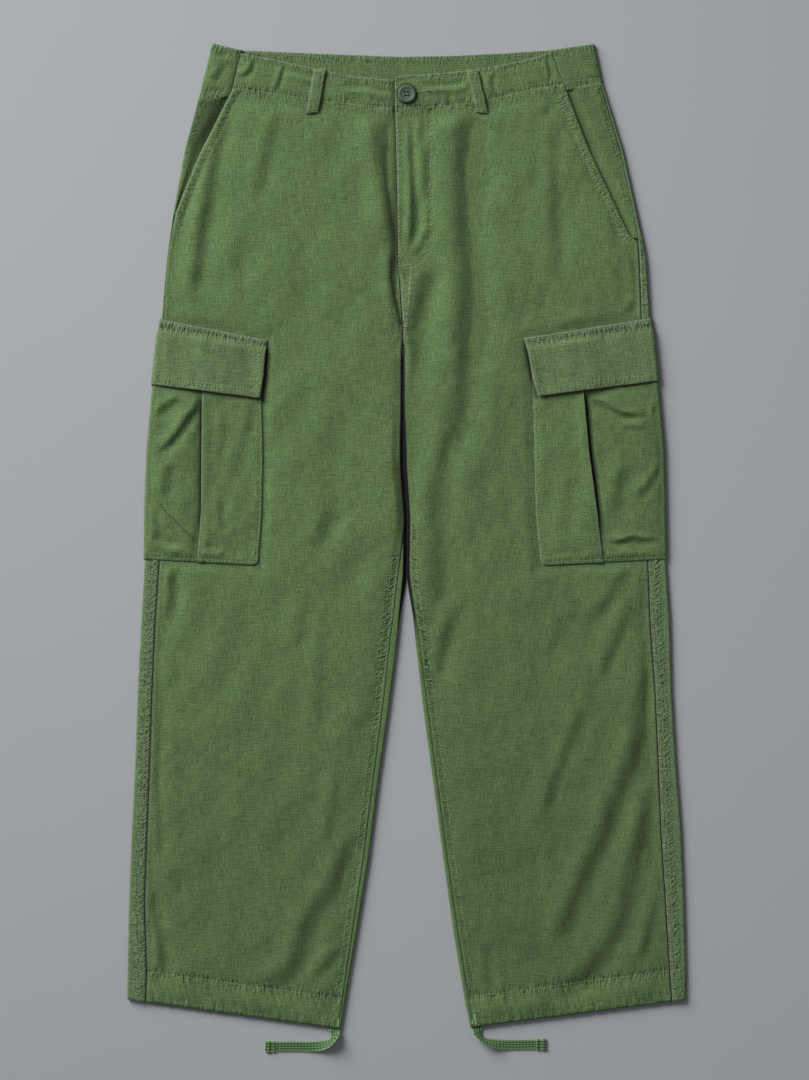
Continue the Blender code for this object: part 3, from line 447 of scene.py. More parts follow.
# Seeds of each piece's random waves, on the right and on the left.
SEEDS = {
    "front": (11, 12), "hem": (13, 14), "back": (21, 22), "facing": (31, 31), "pocket": (41, 42),
    "pleat": (43, 44), "flap": (51, 52), "band": (61, 62), "back_band": (71, 71),
}
CREASE_END = 38  # length over which a long crease runs out
GATHERS = (6.5, 9, 13, 21)  # lengths of the hem casing's gathers


# ---------------------------------------------------------------- numbers


def smooth(t, length=1):
    """0 to 1 over a length, with level ends."""
    t = np.clip(t / length, 0, 1)
    return t * t * (3 - 2 * t)


def mix(a, b, t):
    """a at 0, b at 1 and a straight line between them."""
    return a + (b - a) * t


def bell(distance, at, width):
    """1 at one distance, falling away on both sides."""
    return np.exp(-(((distance - at) / width) ** 2))


def soften(values, reach):
    """Values at steps of 1 mm with their corners rounded over a reach."""
    kernel = np.hanning(2 * reach + 3)[1:-1]
    padded = np.pad(values, reach, mode="reflect", reflect_type="odd")
    return np.convolve(padded, kernel / kernel.sum(), mode="valid")


class Curves:
    """The columns of a short table as smooth curves over its first column."""

    def __init__(self, rows, reach):
        columns = np.array(sorted(tuple(row) for row in rows), float).T
        self.steps = np.linspace(columns[0][0], columns[0][-1], round(np.ptp(columns[0])) + 1)
        self.names = rows[0]._fields[1:]
        self.values = [soften(np.interp(self.steps, columns[0], column), reach) for column in columns[1:]]

    def at(self, key):
        return SimpleNamespace(
            **{name: np.interp(key, self.steps, values) for name, values in zip(self.names, self.values)}
        )


def smooth_route(points, steps):
    """Points of a smooth curve through a route's own points."""
    points = np.array(points, float)
    padded = np.vstack([points[:1], points, points[-1:]])
    t = (np.arange(steps) / steps)[:, None]
    result = [
        0.5 * (2 * b + (c - a) * t + (2 * a - 5 * b + 4 * c - d) * t**2 + (3 * b - a - 3 * c + d) * t**3)
        for a, b, c, d in zip(padded, padded[1:], padded[2:], padded[3:])
    ]
    return np.vstack([*result, points[-1:]])


def beside(x, y, route):
    """Distance beside a route, positive on its left as it runs, and the share of its length there."""
    start, step = route[:-1], np.diff(route, axis=0)
    dx, dy = x[:, None] - start[:, 0], y[:, None] - start[:, 1]
    t = np.clip((dx * step[:, 0] + dy * step[:, 1]) / (step**2).sum(axis=1), 0, 1)
    away = np.hypot(dx - t * step[:, 0], dy - t * step[:, 1])
    nearest = away.argmin(axis=1)
    row = np.arange(len(x))
    side = np.sign(step[nearest, 0] * dy[row, nearest] - step[nearest, 1] * dx[row, nearest])
    return side * away[row, nearest], (nearest + t[row, nearest]) / len(step)


def crease_rise(x, y, creases):
    """How far the creases lift or drop the cloth."""
    total = np.zeros_like(x)
    for crease in creases:
        route = smooth_route(crease.route, 4)
        reach = 4 * crease.width
        low, high = route.min(axis=0) - reach, route.max(axis=0) + reach
        near = np.flatnonzero((x > low[0]) & (x < high[0]) & (y > low[1]) & (y < high[1]))
        if not near.size:
            continue
        away, share = beside(x[near], y[near], route)
        length = np.hypot(*np.diff(route, axis=0).T).sum()
        fade = min(0.3, CREASE_END / length)
        ends = smooth(share, fade) * smooth(1 - share, fade)
        away /= crease.width
        total[near] -= crease.drop * 1.65 * away * np.exp(-0.5 * away**2) * ends
    return total


def ripples(x, y, seed):
    """Small uneven waves that are left in cloth smoothed out by hand."""
    chance = np.random.default_rng(seed)
    total = np.zeros_like(x)
    for length, height in RIPPLES:
        for _ in range(WAVES):
            turn, phase = chance.uniform(0, 2 * math.pi, 2)
            stretch = length * chance.uniform(0.75, 1.35)
            along = x * math.cos(turn) + 0.6 * y * math.sin(turn)
            bend = np.sin((y * math.cos(turn) - x * math.sin(turn)) / (2.1 * stretch) + phase)
            total += height * np.sin(2 * math.pi * along / stretch + 1.2 * bend + phase) / WAVES**0.5
    return total


def seed_of(piece, side):
    """The seed of a piece's random waves on one side."""
    return SEEDS[piece][SIDES.index(side)]


def waves(piece, side, x, y, settings):
    """Height of a piece's small uneven waves, in millimetres."""
    return MM_UP * settings.ripple * ripples(x, y, seed_of(piece, side))


def folds(piece, x, y, settings):
    """Height of a piece's creases, in millimetres."""
    return settings.creasing * crease_rise(x, y, CREASES[piece])


# ---------------------------------------------------------------- the flattened leg

# Length over which the corners of each kind of table are rounded.
LEG_ROUNDING, OPENING_ROUNDING, FLAP_ROUNDING, BAND_ROUNDING, BACK_BAND_ROUNDING = 14, 4, 5, 10, 12


def round_fold(fold, toward, along, radius=FOLD_R):
    """x and height of cloth a distance along from the top of a fold, negative round its side."""
    turned = math.pi * radius
    angle = 0.5 * math.pi + np.clip(along, -turned, 0) / radius
    beyond = np.maximum(along, 0) + np.maximum(-turned - along, 0)
    return fold + toward * (FOLD_R + beyond - radius * np.cos(angle)), FOLD_R + radius * np.sin(angle)


def seam_place(lap):
    """Where a seam lies along the cloth from the top of a fold."""
    return lap - FOLD_R if lap >= FOLD_R else SIDE_PLACE


def start_place(line):
    """Where the front starts: at the hand pocket's opening, or at the seam."""
    return line.opening - FOLD_R if line.opening > line.out_lap else seam_place(line.out_lap)


def slanted(line, share):
    """Height of a line that runs from an outer to an inner height."""
    return mix(line.out_y, line.in_y, share)


SeamLine = namedtuple("SeamLine", "out_y out_fold seam in_y in_fold in_seam")
StartLine = namedtuple("StartLine", "out_y start")


class Leg:
    """One leg as a flattened tube, from a named waist line to the hem."""

    def __init__(self, side, waist):
        rows = (WAISTS[side][waist], *LEGS[side])
        self.side = side
        self.toward = TOWARD[side]
        self.top, self.foot = rows[0].out_y, rows[-1].out_y
        self.lines = Curves(
            [
                SeamLine(r.out_y, r.out_fold, seam_place(r.out_lap), r.in_y, r.in_fold, seam_place(r.in_lap))
                for r in rows
            ],
            LEG_ROUNDING,
        )
        self.starts = Curves([StartLine(r.out_y, start_place(r)) for r in rows], OPENING_ROUNDING)

    def at(self, out_y):
        line = self.lines.at(out_y)
        line.out_y = out_y
        line.start = self.starts.at(out_y).start
        line.fork = smooth(FORK_TOP - line.in_y, FORK_DEPTH)
        return line

    def level(self, line, x):
        """Height along Y of a line at x."""
        return mix(line.out_y, line.in_y, (x - line.out_fold) / (line.in_fold - line.out_fold))

    def across(self, x, y):
        """Distance in from the outer fold."""
        return self.toward * (x - self.at(y).out_fold)

    def outer(self, out_y, along):
        """A point on the top, a distance in from the outer fold."""
        line = self.at(out_y)
        x = round_fold(line.out_fold, self.toward, along)[0]
        return x, self.level(line, x)

    def inner(self, out_y, along):
        """A point on the top, a distance in from the inner fold."""
        line = self.at(out_y)
        x = round_fold(line.in_fold, -self.toward, along)[0]
        return x, self.level(line, x)


INNER_FOLDS = {side: sorted((row.in_y, row.in_fold) for row in LEGS[side]) for side in SIDES}
FRONTS = {side: Leg(side, "front") for side in SIDES}
BACKS = {side: Leg(side, "back") for side in SIDES}
FACINGS = {side: Leg(side, "facing") for side in SIDES}
POCKET_CURVES = {side: Curves(POCKETS[side], LEG_ROUNDING) for side in SIDES}
FLAP_CURVES = {side: Curves(FLAPS[side], FLAP_ROUNDING) for side in SIDES}
BAND_CURVES = {side: Curves(FRONT_BANDS[side], BAND_ROUNDING) for side in SIDES}
BACK_BAND_CURVES = Curves(BACK_BAND, BACK_BAND_ROUNDING)


def clear_of_pocket(leg, x, y):
    """0 under a cargo pocket and its flap, 1 clear of them."""
    across = leg.across(x, y)
    pocket, flap = POCKETS[leg.side], FLAPS[leg.side]
    sewn = np.maximum(POCKET_CURVES[leg.side].at(y).sewn, np.where(y > flap[-1].in_y, flap[1].width, 0))
    top = slanted(flap[0], np.clip(across / flap[0].width, 0, 1))
    foot = slanted(pocket[-1], np.clip(across / pocket[-1].sewn, 0, 1))
    beyond = np.maximum(across - sewn, np.maximum(y - top, foot - y))
    return smooth(beyond - 1.5, 11)


def sewn_dip(leg, x, y):
    """The front is drawn in just above the flap and beside the pocket."""
    across = leg.across(x, y)
    flap = FLAPS[leg.side]
    above = y - slanted(flap[0], np.clip(across / flap[0].width, 0, 1))
    return -0.3 * bell(above, 0.8, 1.6) * smooth(flap[0].width + 4 - across, 4) * smooth(across, 8)


def pocket_shade(leg, x, y):
    """Painted shade on the front: just above a cargo pocket's flap, beside the flap's inner side and beside
    the pocket, where shadows fall.
    """
    across = leg.across(x, y)
    flap, pocket = FLAPS[leg.side], POCKETS[leg.side]
    slope = np.clip(across / flap[0].width, 0, 1)
    above = y - slanted(flap[0], slope)
    below = slanted(flap[-1], slope) - y
    foot = y - slanted(pocket[-1], slope)
    flap_edge = FLAP_CURVES[leg.side].at(y + FLAP_SLANT).width
    top = 0.5 * bell(above, 0.4, 1.1) * smooth(flap[0].width + 4 - across, 4)
    beside_flap = 1.5 * bell(across, flap_edge + 2.4, 3.6) * smooth(-above, 12) * smooth(4 - below)
    beside_pocket = 0.42 * bell(across, POCKET_CURVES[leg.side].at(y).sewn + 0.8, 1.8) * smooth(below, 4)
    return top + beside_flap + beside_pocket * smooth(foot + 4, 4)


def hem_gathers(x, seed):
    """The uneven gathers that a drawn casing keeps, from about -1 to 1."""
    chance = np.random.default_rng(seed)
    total = np.zeros_like(x)
    for length in GATHERS:
        phase = chance.uniform(0, 2 * math.pi)
        total += np.sin(2 * math.pi * x / length + phase + 1.3 * np.sin(x / 17 + phase)) / len(GATHERS) ** 0.5
    return total


def fork_shade(side, x, y):
    """Painted shade in the hollow beside the fly, along the felled seam and beside the fork."""
    hollow = abs(beside(x, y, FORK_HOLLOW)[0])
    dark = 0.4 * bell(hollow, 0, 4.2) * smooth(y - 206, 12)
    dark = dark + 0.75 * bell(hollow, 0, 1.3) * smooth(y - 222, 14) * smooth(318 - y, 22)
    inner = abs(x - np.interp(y, *zip(*INNER_FOLDS[side])))
    near = smooth(y + 105, 60) * smooth(205 - y, 20)
    reach = 10.5 if side == "right" else 3.5
    if side == "left":
        beyond = beside(x, y, STRIP_EDGE)[0] - 1.4
        dark = dark + 0.5 * bell(beyond, 0, 1.2) * smooth(298 - y, 8) * smooth(y - 216, 8)
    turned_under = 0.5 + 0.7 * smooth(92 - y, 30) * smooth(y + 75, 30)
    dark = dark + 1.3 * bell(inner, 0, 1.3) * smooth(y - 70, 40) * smooth(216 - y, 6)
    return dark + near * (turned_under if side == "right" else 0.35) * smooth(1 - inner / reach)


def strip_edge(x, y):
    """The worn edge of the felled seam between the fly and the fork."""
    return 0.9 * bell(beside(x, y, STRIP_EDGE)[0], 0, 1) * smooth(298 - y, 5) * smooth(y - 217, 6)


def painted_falloff(side, y):
    """Painted shade for the light's fall-off: more down the legs than over the hips and thighs, and more on
    the left front below the hip.
    """
    below_thigh = 0.07 * smooth(60 - y, 160) + 0.13 * smooth(-120 - y, 220)
    return below_thigh + (0.08 * smooth(330 - y, 160) if side == "left" else 0)


def lapped(y):
    """1 where the left front laps over the right one and 0 below the lap's foot."""
    return smooth(y - LAP_FOOT + 12, 22)


def facing_row(y):
    """Where the stitches that hold the fly facing run, at a height."""
    return 26.5 - 14 * smooth(322 - y, 30)


def fly_rise(side, x, y):
    """The left front's lap over the right one, its fly facing, and the felled seam below."""
    foot = lapped(y)
    if side == "right":
        return foot * (0.7 * bell(x, -25, 7) - 1.3 * smooth(x + 19.5, 7))
    lap = LAP_LIFT * foot * smooth(1 - (x + 12) / LAP_WIDTH)
    felled = -0.9 * (1 - foot) * smooth(y - 216, 10) * smooth(0.5 - beside(x, y, STRIP_EDGE)[0] / 3)
    edge = foot * rolled(x + 12.4, 2.2, 0.5)
    return lap + edge - 0.55 * bell(x, facing_row(y), 1.8) * smooth(y - 292, 8) + felled


def fly_puckers(side, x, y):
    """Puckers along the stitches that hold the fly facing, and down the seam below it."""
    if side == "right":
        return -0.5 * bell(x, -15, 4) * smooth(300 - y, 10)
    facing = 0.55 * bell(x, facing_row(y), 3.5) * smooth(y - 288, 8)
    return facing + 0.5 * bell(x, -8, 3) - 0.7 * bell(x, 0, 5) * smooth(300 - y, 10)


def felled_seam(distance):
    """The ridge of a felled seam beside its line, with its two rows of stitches."""
    ridge = smooth(distance - 0.6, 1.6) * smooth(13 - distance, 2.5)
    rows = bell(distance, 3, 1.2) + bell(distance, 10.2, 1.3)
    return ridge * (0.6 - 0.35 * rows) - 0.5 * smooth(1 - distance / 1.4)


# ---------------------------------------------------------------- shaders


class Socket:
    """A shader value that Python's own operators work on."""

    def __init__(self, shader, output):
        self.shader, self.output = shader, output

    def maths(self, operation, *values):
        return self.shader.node("ShaderNodeMath", {"operation": operation}, dict(enumerate(values)))

    def __add__(self, other):
        return self.maths("ADD", self, other)

    __radd__ = __add__

    def __sub__(self, other):
        return self.maths("SUBTRACT", self, other)

    def __rsub__(self, other):
        return self.maths("SUBTRACT", other, self)

    def __mul__(self, other):
        return self.maths("MULTIPLY", self, other)

    __rmul__ = __mul__

    def wave(self):
        return self.maths("SINE", self)

    def at_least(self, low):
        return self.maths("MAXIMUM", self, low)

    def at_most(self, high):
        return self.maths("MINIMUM", self, high)


class Shader:
    """One material and the nodes that make its look."""

    def __init__(self, name, roughness, **constants):
        self.material = bpy.data.materials.new(name)
        self.material.use_nodes = True
        self.tree = self.material.node_tree
        self.surface = self.tree.nodes["Principled BSDF"]
        self.surface.inputs["Roughness"].default_value = roughness
        for socket, value in constants.items():
            self.surface.inputs[socket.replace("_", " ")].default_value = value

    def connect(self, target, value):
        if isinstance(value, Socket):
            self.tree.links.new(value.output, target)
        else:
            target.default_value = value

    def node(self, kind, settings=None, sockets=None, output=0):
        made = self.tree.nodes.new(kind)
        for name, value in (settings or {}).items():
            setattr(made, name, value)
        for name, value in (sockets or {}).items():
            self.connect(made.inputs[name], value)
        return Socket(self, made.outputs[output])

    def grain(self):
        return self.node("ShaderNodeUVMap", {"uv_map": "grain"})

    def parts(self, vector):
        """The X and the Y of a vector."""
        outputs = self.node("ShaderNodeSeparateXYZ", None, {0: vector}).output.node.outputs
        return Socket(self, outputs[0]), Socket(self, outputs[1])

    def place(self):
        return self.node("ShaderNodeTexCoord", output="Object")

    def scaled(self, vector, scale, turn=0):
        sockets = {"Vector": vector, "Scale": scale, "Rotation": (0, 0, turn)}
        return self.node("ShaderNodeMapping", {"vector_type": "TEXTURE"}, sockets)

    def noise(self, vector, scale=1, detail=2, roughness=0.5, distortion=0):
        """Noise from about -1 to 1."""
        sockets = {"Vector": vector, "Scale": scale, "Detail": detail}
        sockets.update({"Roughness": roughness, "Distortion": distortion})
        return (self.node("ShaderNodeTexNoise", None, sockets) - 0.5) * 3

    def mask(self, name):
        settings = {"attribute_type": "GEOMETRY", "attribute_name": name}
        return self.node("ShaderNodeAttribute", settings, output="Fac")

    def blend(self, factor, first, second, how="MIX"):
        settings = {"data_type": "RGBA", "blend_type": how}
        return self.node("ShaderNodeMix", settings, {0: factor, 6: first, 7: second}, output=2)

    def dye(self, colour, shade):
        """A base colour that a shade makes lighter or darker."""
        self.connect(self.surface.inputs["Base Color"], self.blend(1, colour, shade, "MULTIPLY"))

    def bump(self, height, strength=1):
        """Height in millimetres."""
        sockets = {"Height": height, "Distance": MM, "Strength": strength}
        self.connect(self.surface.inputs["Normal"], self.node("ShaderNodeBump", None, sockets))


def opaque(colour):
    """A colour with an alpha of 1."""
    return (*colour, 1)


def cloth_finish(name, colour, settings):
    """Garment-dyed linen and cotton: plain weave with slubs, worn pale along its edges, and painted shade in
    pucker valleys, crevices, seams and beside raised edges.
    """
    made = Shader(name, 0.88, Sheen_Weight=0.1, Specular_IOR_Level=0.25)
    grain = made.grain()
    warp = made.noise(made.scaled(grain, (0.0014, 0.014, 1)), detail=1, roughness=0.6)
    weft = made.noise(made.scaled(grain, (0.016, 0.0014, 1)), detail=1, roughness=0.6)
    slub = made.noise(made.scaled(grain, (0.003, 0.013, 1)), detail=1)
    speck = made.noise(grain, 640, detail=1, roughness=0.6)
    crinkle = made.noise(grain, 105, detail=2, roughness=0.6)
    cloud = made.noise(grain, 34, detail=2)
    across, down = made.parts(grain)
    turns = math.pi / settings.yarn
    weave = (across * turns).wave() * (down * turns).wave()
    slant, upright = made.mask("pucker_down"), made.mask("pucker_across")
    rising = made.noise(made.scaled(grain, (0.0085, 0.0024, 1), 0.55), detail=1, distortion=0.5)
    falling = made.noise(made.scaled(grain, (0.0085, 0.0024, 1), -0.55), detail=1, distortion=0.5)
    standing = made.noise(made.scaled(grain, (0.0024, 0.0085, 1)), detail=1, distortion=0.5)
    puckers = slant.at_least(0) * rising + (0 - slant).at_least(0) * falling + upright * standing
    shade = 1 + 0.27 * (warp + weft) + 0.04 * slub + 0.46 * speck + 0.05 * cloud + 0.06 * weave
    # Painted shade: the valleys of the puckers are darkened.
    shade = shade + 0.85 * puckers.at_most(0)
    wear_and_groove_shade = made.mask("wear_and_groove_shade")
    warm = opaque((colour[0] * 1.1, colour[1] * 1.02, colour[2] * 0.9))
    tint = made.blend((0.5 + 0.35 * cloud).at_least(0).at_most(1), opaque(colour), warm)
    pale = opaque([0.62 * value + 0.055 + 0.38 * max(colour) for value in colour])
    faded = made.blend((wear_and_groove_shade * (0.7 + 0.5 * speck)).at_least(0).at_most(1) * 0.7, tint, pale)
    # Painted shade: the mask darkens crevices, crease lines, seams, the cloth beside and under raised edges,
    # and the lower legs where the light falls off.
    shade = shade.at_least(0.35) * (1 - 0.62 * made.mask("painted_shade"))
    made.dye(faded, shade)
    height = 0.1 * (warp + weft) + 0.12 * speck + 0.06 * weave + 0.09 * crinkle + 0.12 * cloud
    made.bump(height + 1.25 * puckers)
    return made.material


TWILL_STEP, TWILL_WIDTH = 0.0018, 0.0013  # of the tape's herringbone, in metres
TURNING_STEP = 0.0011  # between the button's turning marks


def tape_finish(settings):
    """Ribbed herringbone tape, paler at its worn edges, with painted shade in the grooves between its ribs.
    """
    made = Shader("tape_finish", 0.8, Sheen_Weight=0.1, Specular_IOR_Level=0.3)
    grain = made.grain()
    across, along = made.parts(grain)
    twill = (along * (math.pi / TWILL_STEP) + (across * (math.pi / TWILL_WIDTH)).wave() * 1.5).wave()
    fuzz = made.noise(grain, 900)
    groove = made.mask("wear_and_groove_shade")
    # Painted shade: the mask darkens the grooves between the ribs; it also pales the worn edges.
    shade = 1.15 + 0.6 * twill + 0.25 * fuzz + 0.9 * groove
    made.dye(opaque(settings.tape_colour), shade.at_least(0.2))
    made.bump(0.16 * twill + 0.1 * fuzz)
    return made.material


def button_finish(settings):
    """Dull mottled horn-like plastic with fine turning marks."""
    made = Shader("button_finish", 0.55, Specular_IOR_Level=0.35)
    place = made.place()
    middle = (-BUTTON_AT[0] * MM, -BUTTON_AT[1] * MM, 0)
    centred = made.node("ShaderNodeMapping", None, {"Vector": place, "Location": middle})
    radius = made.node("ShaderNodeVectorMath", {"operation": "LENGTH"}, {0: centred}, output="Value")
    rings = (radius * (2 * math.pi / TURNING_STEP)).wave()
    clouds = made.noise(place, 520, detail=2, roughness=0.8)
    shade = 1 + 0.6 * clouds + 0.06 * rings
    made.dye(opaque(settings.button_colour), shade.at_least(0.2))
    made.connect(made.surface.inputs["Roughness"], 0.55 + 0.08 * clouds)
    made.bump(0.02 * rings + 0.015 * clouds)
    return made.material


def thread_finish(name, colour):
    """Twisted sewing thread."""
    made = Shader(name, 0.7, Sheen_Weight=0.1)
    fibres = made.noise(made.place(), 2600)
    shade = 1 + 0.15 * fibres
    made.dye(opaque(colour), shade.at_least(0.2))
    made.bump(0.04 * fibres)
    return made.material


def slit_shadow_finish(settings):
    """Painted shadow for the buttonhole's slit: a dark copy of the cloth's colour."""
    made = Shader("painted_slit_shadow", 0.95, Specular_IOR_Level=0.1)
    dark = [0.18 * value for value in settings.cloth_colour]
    shade = 1 + 0.2 * made.noise(made.place(), 1500)
    made.dye(opaque(dark), shade.at_least(0.2))
    return made.material


def floor_finish(settings):
    """Smooth pale board."""
    made = Shader("floor_finish", 0.75, Specular_IOR_Level=0.2)
    shade = 1 + 0.006 * made.noise(made.place(), 6)
    made.dye(opaque(settings.floor_colour), shade)
    return made.material


def finish(name, settings):
    """A material by name, made the first time that it is asked for."""
    kinds = {
        "cloth_finish": lambda: cloth_finish("cloth_finish", settings.cloth_colour, settings),
        "inside_finish": lambda: cloth_finish("inside_finish", settings.inside_colour, settings),
        "tape_finish": lambda: tape_finish(settings),
        "button_finish": lambda: button_finish(settings),
        "thread_finish": lambda: thread_finish("thread_finish", settings.thread_colour),
        "eyelet_finish": lambda: thread_finish("eyelet_finish", [2 * part for part in settings.tape_colour]),
        "painted_slit_shadow": lambda: slit_shadow_finish(settings),
        "floor_finish": lambda: floor_finish(settings),
    }
    return bpy.data.materials.get(name) or kinds[name]()


# ---------------------------------------------------------------- making a piece


# Point masks: pale worn places, which on the tape also carry painted shade in its grooves; painted shade; and
# the two ways that puckers run.
MASKS = ("wear_and_groove_shade", "painted_shade", "pucker_down", "pucker_across")


def placed(name, data):
    """A new object in the scene."""
    made = bpy.data.objects.new(name, data)
    bpy.context.scene.collection.objects.link(made)
    return made


def kept(name, bm):
    """A new mesh of what was made in bm, which is then freed."""
    mesh = bpy.data.meshes.new(name)
    bm.to_mesh(mesh)
    bm.free()
    return mesh


def show(mesh, name, finish_name, settings, nodes=()):
    """A finished mesh as a piece of the garment, standing for the part's own nodes."""
    piece = placed(name, mesh)
    mesh.materials.append(finish(finish_name, settings))
    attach(piece, "root")
    if nodes:
        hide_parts(*nodes)
    return piece


def grid_mesh(name, columns, rows, place):
    """A grid whose points place(i, j) moves; i runs over columns + 1 points and j over rows + 1. place
    gives x, y, z and u in millimetres, and any of the masks."""
    bm = bmesh.new()
    bmesh.ops.create_grid(bm, x_segments=columns, y_segments=rows, size=0.5)
    mesh = kept(name, bm)
    flat = np.empty(3 * len(mesh.vertices))
    mesh.vertices.foreach_get("co", flat)
    i, j = np.rint((flat.reshape(-1, 3)[:, :2] + 0.5) * (columns, rows)).T
    cloth = place(i, j)
    points = MM * np.stack([cloth.x, cloth.y, cloth.z], axis=1)
    mesh.vertices.foreach_set("co", points.ravel())
    mesh.update()
    for mask in MASKS:
        values = np.broadcast_to(getattr(cloth, mask, 0), i.shape).astype(np.float32)
        mesh.attributes.new(mask, "FLOAT", "POINT").data.foreach_set("value", values)
    corners = np.empty(len(mesh.loops), np.int32)
    mesh.loops.foreach_get("vertex_index", corners)
    grain = MM * np.stack([cloth.u, cloth.y], axis=1)[corners]
    mesh.uv_layers.new(name="grain").data.foreach_set("uv", grain.ravel())
    mesh.shade_smooth()
    return mesh


def cut_size(mesh, columns, rows):
    """Width and length of the flat piece that a grid's cloth is cut from, in metres."""
    flat = np.empty(3 * len(mesh.vertices))
    mesh.vertices.foreach_get("co", flat)
    points = flat.reshape(rows + 1, columns + 1, 3)
    steps = (np.linalg.norm(np.diff(points, axis=way), axis=2).sum(axis=way) for way in (1, 0))
    return tuple(float(lengths.max()) for lengths in steps)


def turn_outward(mesh):
    """The cloth's right side faces up wherever it lies on the top."""
    count = len(mesh.polygons)
    normal, centre, area = np.empty(3 * count), np.empty(3 * count), np.empty(count)
    mesh.polygons.foreach_get("normal", normal)
    mesh.polygons.foreach_get("center", centre)
    mesh.polygons.foreach_get("area", area)
    top = centre[2::3] > FOLD_R * MM
    if (normal[2::3] * area)[top].sum() < 0:
        mesh.flip_normals()


def cloth_sheet(name, columns, rows, place, wall, settings, node, inside=False):
    """A piece of cloth with its thickness below the face that place gives."""
    mesh = grid_mesh(name, columns, rows, place)
    width, length = cut_size(mesh, columns, rows)
    turn_outward(mesh)
    area = sum(face.area for face in mesh.polygons)
    finish_name, slot = ("inside_finish", "cloth_inside") if inside else ("cloth_finish", "cloth")
    piece = show(mesh, name, finish_name, settings, (node,))
    thick = piece.modifiers.new("Cloth", "SOLIDIFY")
    thick.thickness = wall * MM
    thick.offset = -1
    thick.use_rim = True
    return piece


# ---------------------------------------------------------------- leg panels

EDGE = np.array([0, 0.8, 1.6, 2.6, 4, 5.5, 7, 8.2, 9.2, 10.2, 11.2, 12.6, 14.5])
FRONT_CELLS = 108
TUCK = 2.2  # cloth that runs on under a seam
FRONT_ROWS = 350
FRONT_LOW = 2.9  # no crease presses the front's face below this height
BACK_ROWS = 325
BACK_STRIP, BACK_ARC, BACK_UNDER, BACK_INNER = 16, 8, 24, 6


def rolled(distance, width=1.8, drop=0.6):
    """How a turned edge of cloth rounds down."""
    return -drop * (1 - smooth(distance, width))


